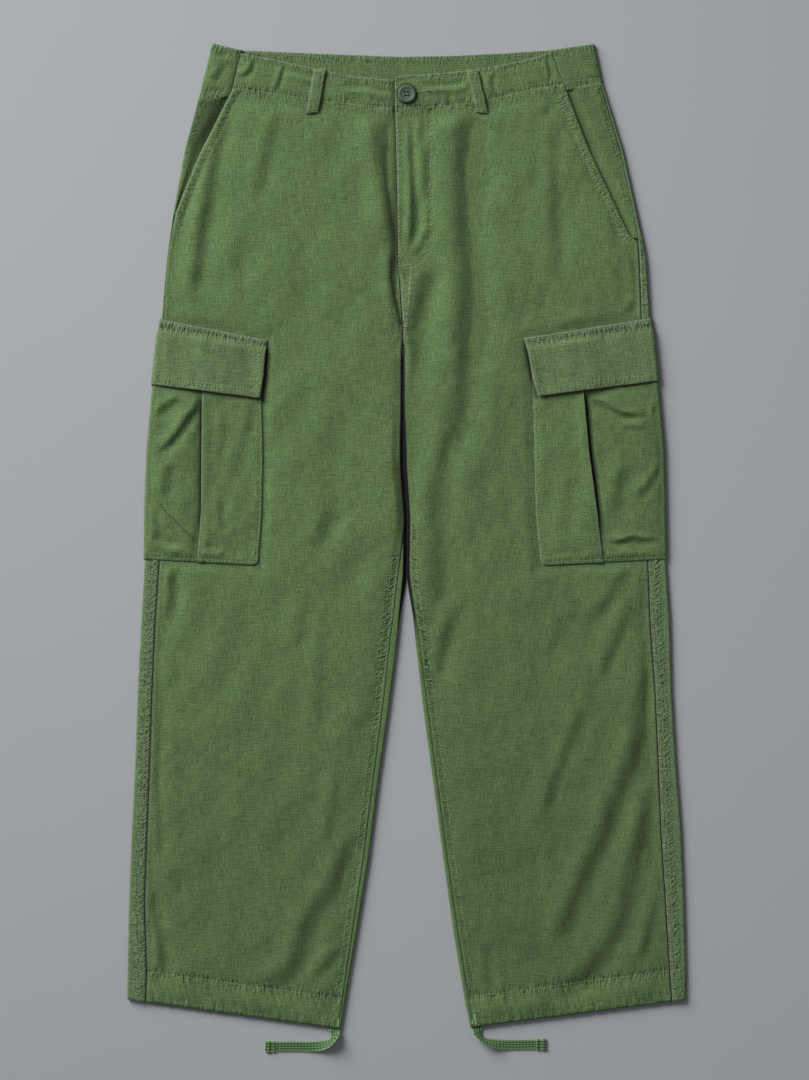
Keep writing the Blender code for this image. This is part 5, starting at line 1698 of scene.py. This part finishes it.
def ribbed_tape(name, route, widths, thicks, rib):
    """A closed ribbed tape along a route, with a width and thickness at each of its points."""
    face, level = np.linspace(-1, 1, TAPE_FACE + 1), np.ones(TAPE_FACE + 1)
    turn = np.linspace(0, math.pi, TAPE_SIDE + 2)[1:-1]
    side = 1 + 0.035 * np.sin(turn)
    across = np.concatenate([face, side, face[::-1], -side, face[:1]])
    height = np.concatenate([level, np.cos(turn), -level, -np.cos(turn), level[:1]])
    border = abs(np.cos(0.5 * math.pi * TAPE_RIBS * (across + 1))) ** 4
    groove = np.where(abs(across) > 0.93, 0, border)
    rounding = 1 - 0.35 * abs(np.clip(across, -1, 1)) ** 8
    wide, thin = tape_frames(route)
    columns, rows = len(across) - 1, len(route) - 1
    run = np.concatenate([[0], np.cumsum(np.linalg.norm(np.diff(route[:, :3], axis=0), axis=1))])

    def place(i, j):
        i, j = i.astype(int), j.astype(int)
        spread = 0.5 * widths[j] * across[i]
        rise = height[i] * (0.5 * thicks[j] * rounding[i] - rib * groove[i])
        point = route[j, :3] + wide[j] * spread[:, None] + thin[j] * rise[:, None]
        # Paler worn edges, and painted shade in the grooves between the ribs.
        wear_and_groove_shade = 0.8 * bell(abs(across[i]), 1, 0.12) - 1.6 * groove[i]
        return SimpleNamespace(x=point[:, 0], y=point[:, 1], z=point[:, 2], u=spread, wear_and_groove_shade=wear_and_groove_shade)

    mesh = grid_mesh(name, columns, rows, place)
    along_tape(mesh, columns, run, widths, across)
    bm = bmesh.new()
    bm.from_mesh(mesh)
    bmesh.ops.remove_doubles(bm, verts=bm.verts, dist=1e-6)
    bmesh.ops.holes_fill(bm, edges=bm.edges, sides=0)
    bmesh.ops.recalc_face_normals(bm, faces=bm.faces)
    bm.to_mesh(mesh)
    bm.free()
    return smooth_by_angle(mesh)


def along_tape(mesh, columns, run, widths, across):
    """The tape's own grain: across it and along its run, in metres."""
    corners = np.empty(len(mesh.loops), np.int32)
    mesh.loops.foreach_get("vertex_index", corners)
    i, j = corners % (columns + 1), corners // (columns + 1)
    grain = MM * np.stack([0.5 * widths[j] * across[i], run[j]], axis=1)
    mesh.uv_layers["grain"].data.foreach_set("uv", grain.ravel())


def drawcord(side, settings):
    """A drawcord from under the hem to its sewn tip."""
    route = smooth_route(CORDS[side], TAPE_STEPS)
    count = len(route)
    width = MM_UP * settings.tape_width
    mesh = ribbed_tape(f"drawcord_tape_{side}", route, np.full(count, width), np.full(count, TAPE_THICK), 0.3)
    tape = show(mesh, f"drawcord_tape_{side}", "tape_finish", settings, (f"drawcord_{side}",))
    tip = drawcord_tip(side, settings)
    tuple(MM * value for value in CORDS[side][CORD_EXIT][:3])


def drawcord_tip(side, settings):
    """The tape's end, folded back on itself twice and sewn across."""
    last, before = CORDS[side][-1], CORDS[side][-2]
    toward = 1 if last.x > before.x else -1
    run = np.array([
        0, 0.03, 0.08, 0.14, 0.2, 0.26, 0.31, 0.36, 0.41, 0.46, 0.51, 0.57, 0.64, 0.72, 0.79, 0.86, 0.92,
        0.96, 0.99, 1,
    ])
    closed = np.sqrt(np.clip(1 - (2 * abs(run - 0.5)) ** 14, 0, 1))
    thick = 1.9 + 0.55 * bell(run, 0.17, 0.08) + 0.65 * bell(run, 0.72, 0.2) - 0.75 * bell(run, 0.42, 0.07)
    along = last.x + toward * (0.15 + TIP_LENGTH * run)
    route = np.stack([along, np.full_like(run, last.y), 0.06 + 0.5 * thick, np.zeros_like(run)], axis=1)
    widths = (TIP_WIDTH + 1.1 * smooth(run - 0.4, 0.3) + 0.6 * bell(run, 0.15, 0.08)) * (0.86 + 0.14 * closed)
    mesh = ribbed_tape(f"drawcord_tip_{side}", route, widths, thick * (0.25 + 0.75 * closed), 0.16)
    return show(mesh, f"drawcord_tip_{side}", "tape_finish", settings, (f"drawcord_end_{side}",))


# ---------------------------------------------------------------- sewing


def stitch_bead():
    """One stitch: a long bead along X, 1 long and 1 across."""
    bm = bmesh.new()
    bmesh.ops.create_uvsphere(bm, u_segments=6, v_segments=4, radius=0.5)
    bmesh.ops.rotate(bm, verts=bm.verts, cent=(0, 0, 0), matrix=Matrix.Rotation(0.5 * math.pi, 3, "Y"))
    return bm


def sew(name, stitches, settings, finish_name="thread_finish"):
    """One piece of all the stitches given: each has its centre, its run, its width and how tall it is."""
    at, run, wide, tall = (np.array(values) for values in zip(*stitches))
    mesh = kept(name + "_bead", stitch_bead())
    bead = placed(name + "_bead", mesh)
    repeat = bead.modifiers.new("Row", "ARRAY")
    repeat.fit_type = "FIXED_COUNT"
    repeat.count = len(at)
    repeat.use_relative_offset = False
    rows = baked(bead, name)
    shape = np.empty(3 * len(mesh.vertices))
    mesh.vertices.foreach_get("co", shape)
    shape = shape.reshape(1, -1, 3)
    bpy.data.objects.remove(bead, do_unlink=True)
    ahead = run / np.linalg.norm(run, axis=1, keepdims=True)
    aside = np.cross((0, 0, 1), ahead)
    aside /= np.linalg.norm(aside, axis=1, keepdims=True)
    up = np.cross(ahead, aside)
    width = wide[:, None, None]
    points = (
        at[:, None, :]
        + shape[:, :, 0:1] * run[:, None, :]
        + shape[:, :, 1:2] * width * aside[:, None, :]
        + shape[:, :, 2:3] * width * tall[:, None, None] * up[:, None, :]
    )
    rows.vertices.foreach_set("co", (MM * points).ravel())
    rows.shade_smooth()
    return show(rows, name, finish_name, settings)


class Seams:
    """Rows of stitches laid on the cloth below them."""

    def __init__(self, pieces, settings):
        depsgraph = bpy.context.evaluated_depsgraph_get()
        self.trees = [BVHTree.FromObject(bpy.data.objects[name], depsgraph) for name in pieces]
        self.settings = settings
        self.stitches = []

    def height(self, x, y):
        """Height of the cloth at a point, from above."""
        hits = [tree.ray_cast(Vector((x * MM, y * MM, 0.1)), Vector((0, 0, -1)))[0] for tree in self.trees]
        return max((hit.z * MM_UP for hit in hits if hit is not None), default=None)

    def stitch(self, x, y, dx, dy, width=None, sink=0.08, tall=1, steep=1):
        """One stitch, left out where the cloth ends or steps by more than steep."""
        ends = [self.height(x - 0.5 * dx, y - 0.5 * dy), self.height(x + 0.5 * dx, y + 0.5 * dy)]
        if None in ends:
            return
        rise = ends[1] - ends[0]
        if abs(rise) > steep:
            return
        at = (x, y, max(0.5 * sum(ends), self.height(x, y) or 0) - sink)
        self.stitches.append((at, (dx, dy, rise), width or MM_UP * self.settings.thread_width, tall))

    def row(self, points, pitch=None, length=None, width=None, start=0):
        """Stitches at an even pitch along a route."""
        points = np.array(points, float)
        pitch = pitch or MM_UP * self.settings.stitch_pitch
        length = length or 0.78 * pitch
        run = np.concatenate([[0], np.cumsum(np.linalg.norm(np.diff(points, axis=0), axis=1))])
        places = np.arange(start + 0.5 * pitch, run[-1] - 0.4 * pitch, pitch)
        for place in places:
            x, y = (np.interp(place, run, points[:, k]) for k in (0, 1))
            ahead = [np.diff(np.interp((place - 1, place + 1), run, points[:, k]))[0] for k in (0, 1)]
            scale = length / max(math.hypot(*ahead), 1e-6)
            self.stitch(x, y, ahead[0] * scale, ahead[1] * scale, width)

    def bar(self, start, end, height=2.4, pitch=0.62):
        """A bar tack: close stitches across a short line."""
        start, end = np.array(start, float), np.array(end, float)
        length = np.linalg.norm(end - start)
        ahead = (end - start) / length
        for k in range(int(length / pitch)):
            x, y = start + ahead * (k + 0.5) * pitch
            self.stitch(x, y, -ahead[1] * height, ahead[0] * height, 0.6, 0)

    def sew(self, name, finish_name="thread_finish"):
        return sew(name, self.stitches, self.settings, finish_name)


def leg_row(place, leg, top, foot, distance):
    """A row beside a leg's outer or inner fold; distance is a number or a function of the line."""
    heights = np.linspace(top, foot, max(2, int(abs(top - foot) / 6)))
    return [place(out_y, distance(leg.at(out_y))) for out_y in heights]


def leg_stitching(side, settings):
    """The felled side and inside seams, the slanting pocket edge and the hem casing."""
    names = (f"leg_front_{side}", f"leg_back_{side}", f"hand_pocket_facing_{side}")
    seams = Seams(names, settings)
    front, back = FRONTS[side], BACKS[side]
    for distance in (3, 10.2):
        seams.row(leg_row(back.outer, back, -30, -500, lambda line: line.seam - distance))
    for distance in (2.6, 8.8):
        top = {"right": -10, "left": 30}[side]
        seams.row(leg_row(front.inner, front, top, -470, lambda line: line.in_seam + distance))
    foot = {"right": 366, "left": 332}[side]
    for distance in (8.6, 11):
        seams.row(leg_row(front.outer, front, front.top - 3, foot, lambda line: line.start + distance))
    if side == "left":
        for distance in (-1.2, 2.6):
            seams.row(leg_row(front.outer, front, 318, 246, lambda line: line.seam + distance))
        seams.row(leg_row(back.outer, back, 455, 335, lambda line: line.seam + 4.4))
        seams.bar((232, 331.8), (254.5, 327.8), 2.6)
    casing = FRONTS[side].at(HEM_STITCH)
    ends = [casing.out_fold + front.toward * (casing.seam + 2), casing.in_fold - front.toward * 5]
    seams.row([(x, front.level(casing, x)) for x in np.linspace(*ends, 40)])
    strip = [casing.out_fold + front.toward * 3, casing.out_fold + front.toward * (casing.seam - 1)]
    seams.row([(x, front.level(casing, x)) for x in np.linspace(*strip, 8)])
    seams.sew(f"leg_stitching_{side}")


def fly_stitching(settings):
    """The curved row that holds the fly facing, the lap's edge and the seam below it."""
    seams = Seams(("leg_front_right", "leg_front_left"), settings)
    curve = [(26.5, 465), (26.5, 400), (26.4, 340), (24.5, 318), (19.5, 303), (9, 295), (-3, 293.5)]
    seams.row(smooth_route(curve, 6))
    seams.row([(-9.4, 464), (-8.4, 400), (-7.4, 330), (-6.6, 302)])
    seams.row([(-6, 290), (-4.5, 262), (-2.2, 232)])
    for k in range(20):
        y = 289 - 3.2 * k
        x = np.interp(y, STRIP_EDGE[::-1, 1], STRIP_EDGE[::-1, 0]) - 4.2
        seams.stitch(x, y, 2.6, 2.6 * (-1) ** k, 0.75)
    seams.bar((-8.5, 296.5), (5.5, 298.5), 2.6)
    seams.sew("fly_stitching")


def pocket_stitching(side, settings):
    """The flap's two top rows and its edge row, and the rows round the cargo pocket."""
    names = [f"cargo_pocket_{part}_{side}" for part in ("outer", "pleat", "flap")]
    seams = Seams(names, settings)
    leg = BACKS[side]
    toward = leg.toward
    flap, pocket = FLAP_CURVES[side], POCKET_CURVES[side]
    top, lip = FLAPS[side][0].out_y, FLAPS[side][-1].out_y

    def flap_point(out_y, across):
        line = flap.at(out_y)
        return leg.at(out_y).out_fold + toward * across, mix(out_y, line.in_y, across / line.width)

    def pocket_point(out_y, across):
        line = pocket.at(out_y)
        return leg.at(out_y).out_fold + toward * across, mix(out_y, line.in_y, across / line.sewn)

    width = flap.at(top).width
    for down in (2, FLAP_TOP_STITCH):
        seams.row([flap_point(top - down, across) for across in np.linspace(2, width - 2, 24)], start=down)
    side_row = [flap_point(y, flap.at(y).width - 9) for y in np.linspace(top - 10, lip + 9, 14)]
    lip_row = [flap_point(lip + 9, across) for across in np.linspace(flap.at(lip).width - 9, 2, 24)]
    seams.row(side_row + lip_row[1:])
    foot = POCKETS[side][-1].out_y
    edge = [pocket_point(y, pocket.at(y).sewn - 2.4) for y in np.linspace(lip - 6, foot + 3, 30)]
    seams.row(edge)
    seams.row([pocket_point(foot + 3.2, across) for across in np.linspace(pocket.at(foot).sewn - 2.4, 3, 30)])
    corner = flap_point(top - 1, width - 1)
    inward = flap_point(top - 2.5, width - 12)
    seams.bar(corner, inward, 2)
    seams.sew(f"cargo_pocket_stitching_{side}")


def band_stitching(settings):
    """Both edges of the waistband, the belt loops and the buttonhole."""
    names = ["back_band"] + [f"front_band_{side}" for side in SIDES]
    seams = Seams(names, settings)
    for side in SIDES:
        curves, rows = BAND_CURVES[side], FRONT_BANDS[side]
        low_x = np.linspace(rows[0].low_x, rows[-1].low_x, 60)[1:-1]
        line = curves.at(low_x)
        for share in (0.085, 0.925):
            seams.row(np.stack([mix(line.top_x, low_x, share), mix(line.top_y, line.low_y, share)], axis=1))
        end = BAND_ENDS[side]
        toward = TOWARD[side]
        fold_top, fold_low = end.fold
        edge_top, edge_low, _ = end.edge
        for share in (0.09, 0.9):
            start = np.array([mix(a, b, share) for a, b in zip(fold_top, fold_low)]) + (toward * 3, 0)
            stop = np.array([mix(a, b, share) for a, b in zip(edge_top, edge_low)]) - (toward * 1, 0)
            seams.row([start, stop])
    seams.row([(-9.2, 501), (-9, 470)])
    inside_x = np.linspace(-178, 156, 90)
    seams.row(np.stack([inside_x, BACK_BAND_CURVES.at(inside_x).top_y - 3.4], axis=1))
    buttonhole(seams)
    seams.sew("waistband_stitching")
    loops = Seams([f"belt_loop_cloth_{side}" for side in SIDES], settings)
    for side in SIDES:
        ends = LOOPS[side]
        lean = TOWARD[side] * LOOP_LEAN
        for across in (-4.5, 4.5):
            top = (ends.top_x + across, ends.top_y + lean * across - 2)
            low = (ends.low_x + across, ends.low_y + lean * across + 2)
            loops.row([top, low], pitch=2.8)
        for x, y in ((ends.low_x + 0.8, ends.low_y + 4), (ends.top_x - 0.6, ends.top_y - 3.5)):
            loops.bar((x - 5.2, y - 5.2 * lean), (x + 5.2, y + 5.2 * lean), 1.9, 0.8)
    loops.sew("belt_loop_stitching")


SLIT = ((11.6, 486.2), (26.5, 488.6))  # the buttonhole's slit beside the button


def buttonhole(seams):
    """Close stitches round the slit that shows beside the button."""
    start, end = np.array(SLIT[0]), np.array(SLIT[1])
    ahead = (end - start) / np.linalg.norm(end - start)
    aside = np.array((-ahead[1], ahead[0]))
    for k in range(int(np.linalg.norm(end - start) / 0.75)):
        for way in (-1, 1):
            x, y = start + ahead * 0.75 * (k + 0.5) + way * 1.15 * aside
            seams.stitch(x, y, aside[0] * 1.3, aside[1] * 1.3, 0.62, 0)
    for k in range(5):
        x, y = end + ahead * 0.8 + aside * 0.55 * (k - 2)
        seams.stitch(x, y, ahead[0] * 1.4, ahead[1] * 1.4, 0.6, 0)


def buttonhole_slit_shadow(settings):
    """The buttonhole's slit as dark beads, wider at its ends: painted shadow where it opens."""
    seams = Seams(["front_band_left"], settings)
    start, end = np.array(SLIT[0]), np.array(SLIT[1])
    steps = 7
    for k in range(steps):
        x, y = mix(start, end, (k + 0.5) / steps)
        dx, dy = (end - start) / steps * 1.5
        seams.stitch(x, y, dx, dy, 0.9 + 1.6 * abs(2 * k / (steps - 1) - 1) ** 3, 0, 0.35)
    seams.sew("buttonhole_slit_shadow", "painted_slit_shadow")


def button_threads(settings):
    """The threads that cross between the button's holes."""
    holes = hole_places()
    threads = []
    for first, second, thick in ((0, 3, 0.4), (1, 2, 0.4), (1, 3, 0.75)):
        a, b = np.array(holes[first]), np.array(holes[second])
        threads.append(((*(0.5 * (a + b)), BUTTON_BASE + 2.35), (*(1.02 * (b - a)), 0), thick, 1))
    sew("button_thread", threads, settings)


def eyelet_stitching(settings):
    """The worked eyelets where the drawcords leave the hems."""
    for side, x, y in (("left", 73.6, -530.5), ("right", -72.5, -533)):
        seams = Seams([f"leg_front_{side}", f"leg_back_{side}"], settings)
        for k in range(13):
            for shift in (-1.6, 1.6):
                at_x = x + shift - 0.1 * k * TOWARD[side]
                seams.stitch(at_x, y - 0.85 * k + 5, 2.1, 0.1, 0.9, -0.2, 1, 2.5)
        seams.sew(f"eyelet_stitching_{side}", "eyelet_finish")


# ---------------------------------------------------------------- stage


LIGHT_AIM = Vector((-0.1, 0.1, 0))
LIGHT_SPREAD = math.radians(66)
LIGHT_COLOUR = (1, 0.985, 0.96)
SKY_COLOUR = (0.93, 0.96, 1, 1)
FLOOR_SIZE, FLOOR_TOP = 6, -0.0004
CAMERA_AT = (-0.0022, -0.0041, 3)
FOCAL_LENGTH = 90.9


def build_stage(settings):
    """The floor, the window's soft light, the light from all round and the camera."""
    scene = bpy.context.scene
    scene.view_settings.view_transform = "Standard"
    bm = bmesh.new()
    bmesh.ops.create_grid(bm, x_segments=4, y_segments=4, size=FLOOR_SIZE)
    bmesh.ops.translate(bm, verts=bm.verts, vec=(0, 0, FLOOR_TOP))
    floor = placed("floor", kept("floor", bm))
    floor.data.materials.append(finish("floor_finish", settings))
    world = scene.world or bpy.data.worlds.new("studio")
    scene.world = world
    world.use_nodes = True
    background = world.node_tree.nodes["Background"]
    background.inputs["Color"].default_value = SKY_COLOUR
    background.inputs["Strength"].default_value = settings.fill
    light = bpy.data.lights.new("window", "AREA")
    light.shape = "DISK"
    light.size = settings.light_size
    light.spread = LIGHT_SPREAD
    light.energy = settings.light_power
    light.color = LIGHT_COLOUR
    window = placed("window", light)
    window.location = Vector(settings.light_place)
    window.rotation_mode = "QUATERNION"
    window.rotation_quaternion = (LIGHT_AIM - window.location).to_track_quat("-Z", "Y")
    lens = bpy.data.cameras.new("camera")
    lens.sensor_fit = "AUTO"
    lens.sensor_width = 36
    lens.lens = FOCAL_LENGTH
    lens.dof.use_dof = False
    lens.clip_start, lens.clip_end = 0.1, 50
    camera = placed("camera", lens)
    camera.location = CAMERA_AT
    scene.camera = camera


# ---------------------------------------------------------------- the add-on


class TrousersSettings(bpy.types.PropertyGroup):
    """Sizes and colours of the garment's finish"""

    cloth_colour: FloatVectorProperty(
        name="Cloth", description="Colour of the dyed cloth", subtype="COLOR", size=3, min=0, max=1,
        default=(0.105, 0.18, 0.072),
    )
    inside_colour: FloatVectorProperty(
        name="Inside", description="Colour of the cloth's inner face in the waistband", subtype="COLOR",
        size=3, min=0, max=1, default=(0.098, 0.168, 0.068),
    )
    tape_colour: FloatVectorProperty(
        name="Tape", description="Colour of the drawcord tapes", subtype="COLOR", size=3, min=0, max=1,
        default=(0.115, 0.225, 0.095),
    )
    thread_colour: FloatVectorProperty(
        name="Thread", description="Colour of the sewing thread", subtype="COLOR", size=3, min=0, max=1,
        default=(0.21, 0.3, 0.15),
    )
    button_colour: FloatVectorProperty(
        name="Button", description="Colour of the button", subtype="COLOR", size=3, min=0, max=1,
        default=(0.064, 0.108, 0.07),
    )
    fullness: FloatProperty(
        name="Fullness", description="How far the fronts stand up between their seams", subtype="DISTANCE",
        unit="LENGTH", default=0.0018, min=0, max=0.01,
    )
    creasing: FloatProperty(
        name="Creasing", description="Share of the creases' height that is shown", subtype="FACTOR",
        default=1, min=0, max=2,
    )
    ripple: FloatProperty(
        name="Ripple", description="Height of the small uneven waves in the cloth", subtype="DISTANCE",
        unit="LENGTH", default=0.0005, min=0, max=0.002,
    )
    yarn: FloatProperty(
        name="Yarn", description="Distance between two yarns of the weave", subtype="DISTANCE", unit="LENGTH",
        default=0.00056, min=0.0002, max=0.002,
    )
    stitch_pitch: FloatProperty(
        name="Stitch Pitch", description="Distance between two stitches of a row", subtype="DISTANCE",
        unit="LENGTH", default=0.0032, min=0.001, max=0.01,
    )
    thread_width: FloatProperty(
        name="Thread Width", description="Width of a stitch", subtype="DISTANCE", unit="LENGTH",
        default=0.00085, min=0.0001, max=0.002,
    )
    tape_width: FloatProperty(
        name="Tape Width", description="Width of the drawcord tapes", subtype="DISTANCE", unit="LENGTH",
        default=0.0105, min=0.004, max=0.02,
    )
    button_radius: FloatProperty(
        name="Button Radius", description="Radius of the button", subtype="DISTANCE", unit="LENGTH",
        default=0.01, min=0.005, max=0.02,
    )


class TrousersStageSettings(bpy.types.PropertyGroup):
    """Floor and light"""

    floor_colour: FloatVectorProperty(
        name="Floor", description="Colour of the floor", subtype="COLOR", size=3, min=0, max=1,
        default=(0.405, 0.42, 0.445),
    )
    light_place: FloatVectorProperty(
        name="Light Place", description="Where the soft light stands", subtype="TRANSLATION", size=3,
        default=(-2.9, 2.75, 2.1),
    )
    light_size: FloatProperty(
        name="Light Size", description="Width of the soft light", subtype="DISTANCE", unit="LENGTH",
        default=3.2, min=0.1, max=5,
    )
    light_power: FloatProperty(
        name="Light Power", description="Power of the soft light", subtype="POWER", unit="POWER",
        default=55, min=0,
    )
    fill: FloatProperty(
        name="Fill", description="Strength of the light from all round", default=0.2, min=0, max=5
    )


def make_sides(context, *makers):
    """Run makers for the right and the left side."""
    for side in SIDES:
        for maker in makers:
            maker(side, context.scene.trousers)
    return {"FINISHED"}


class TROUSERS_OT_stage(bpy.types.Operator):
    """Set up the floor, the soft light and the camera"""

    bl_idname = "trousers.stage"
    bl_label = "Stage"

    def execute(self, context):
        build_stage(context.scene.trousers_stage)
        return {"FINISHED"}


class TROUSERS_OT_drawcords(bpy.types.Operator):
    """Make the two ribbed drawcord tapes with their sewn tips"""

    bl_idname = "trousers.drawcords"
    bl_label = "Drawcords"

    def execute(self, context):
        return make_sides(context, drawcord)


class TROUSERS_OT_leg_backs(bpy.types.Operator):
    """Make the back leg panels, which turn round the side folds"""

    bl_idname = "trousers.leg_backs"
    bl_label = "Leg Backs"

    def execute(self, context):
        return make_sides(context, leg_back)


class TROUSERS_OT_leg_fronts(bpy.types.Operator):
    """Make the front leg panels with their creases, fly and hem casings"""

    bl_idname = "trousers.leg_fronts"
    bl_label = "Leg Fronts"

    def execute(self, context):
        return make_sides(context, leg_front)


class TROUSERS_OT_hand_pockets(bpy.types.Operator):
    """Make the facings seen in the slanting hand pockets"""

    bl_idname = "trousers.hand_pockets"
    bl_label = "Hand Pockets"

    def execute(self, context):
        return make_sides(context, pocket_facing)


class TROUSERS_OT_cargo_pockets(bpy.types.Operator):
    """Make the bellows pockets, their pleats and flaps"""

    bl_idname = "trousers.cargo_pockets"
    bl_label = "Cargo Pockets"

    def execute(self, context):
        return make_sides(context, pocket_outer, pocket_pleat, pocket_flap)


class TROUSERS_OT_waistband(bpy.types.Operator):
    """Make the waistband and its belt loops"""

    bl_idname = "trousers.waistband"
    bl_label = "Waistband"

    def execute(self, context):
        back_band(context.scene.trousers)
        return make_sides(context, front_band, belt_loop)


class TROUSERS_OT_button(bpy.types.Operator):
    """Make the four-hole button and its threads"""

    bl_idname = "trousers.button"
    bl_label = "Button"

    def execute(self, context):
        turned_button(context.scene.trousers)
        button_threads(context.scene.trousers)
        return {"FINISHED"}


class TROUSERS_OT_stitching(bpy.types.Operator):
    """Sew the rows of stitches on to the finished cloth"""

    bl_idname = "trousers.stitching"
    bl_label = "Stitching"

    def execute(self, context):
        settings = context.scene.trousers
        for side in SIDES:
            leg_stitching(side, settings)
            pocket_stitching(side, settings)
        fly_stitching(settings)
        band_stitching(settings)
        buttonhole_slit_shadow(settings)
        eyelet_stitching(settings)
        return {"FINISHED"}


STEPS = (
    TROUSERS_OT_stage,
    TROUSERS_OT_drawcords,
    TROUSERS_OT_leg_backs,
    TROUSERS_OT_leg_fronts,
    TROUSERS_OT_hand_pockets,
    TROUSERS_OT_cargo_pockets,
    TROUSERS_OT_waistband,
    TROUSERS_OT_button,
    TROUSERS_OT_stitching,
)


class TROUSERS_PT_panel(bpy.types.Panel):
    """Settings and steps of the cargo trousers"""

    bl_idname = "TROUSERS_PT_panel"
    bl_label = "Cargo Trousers"
    bl_space_type = "VIEW_3D"
    bl_region_type = "UI"
    bl_category = "Trousers"

    def draw(self, context):
        for group in (context.scene.trousers, context.scene.trousers_stage):
            box = self.layout.box()
            for name in group.__annotations__:
                box.prop(group, name)
        for step in STEPS:
            self.layout.operator(step.bl_idname)


CLASSES = (TrousersSettings, TrousersStageSettings, *STEPS, TROUSERS_PT_panel)


def register():
    for kind in CLASSES:
        bpy.utils.register_class(kind)
    bpy.types.Scene.trousers = PointerProperty(type=TrousersSettings)
    bpy.types.Scene.trousers_stage = PointerProperty(type=TrousersStageSettings)


def unregister():
    del bpy.types.Scene.trousers_stage
    del bpy.types.Scene.trousers
    for kind in reversed(CLASSES):
        bpy.utils.unregister_class(kind)


def main():
    """Make the garment and its stage."""
    register()
    for step in STEPS:
        family, name = step.bl_idname.split(".")
        getattr(getattr(bpy.ops, family), name)()


if __name__ == "__main__":
    main()
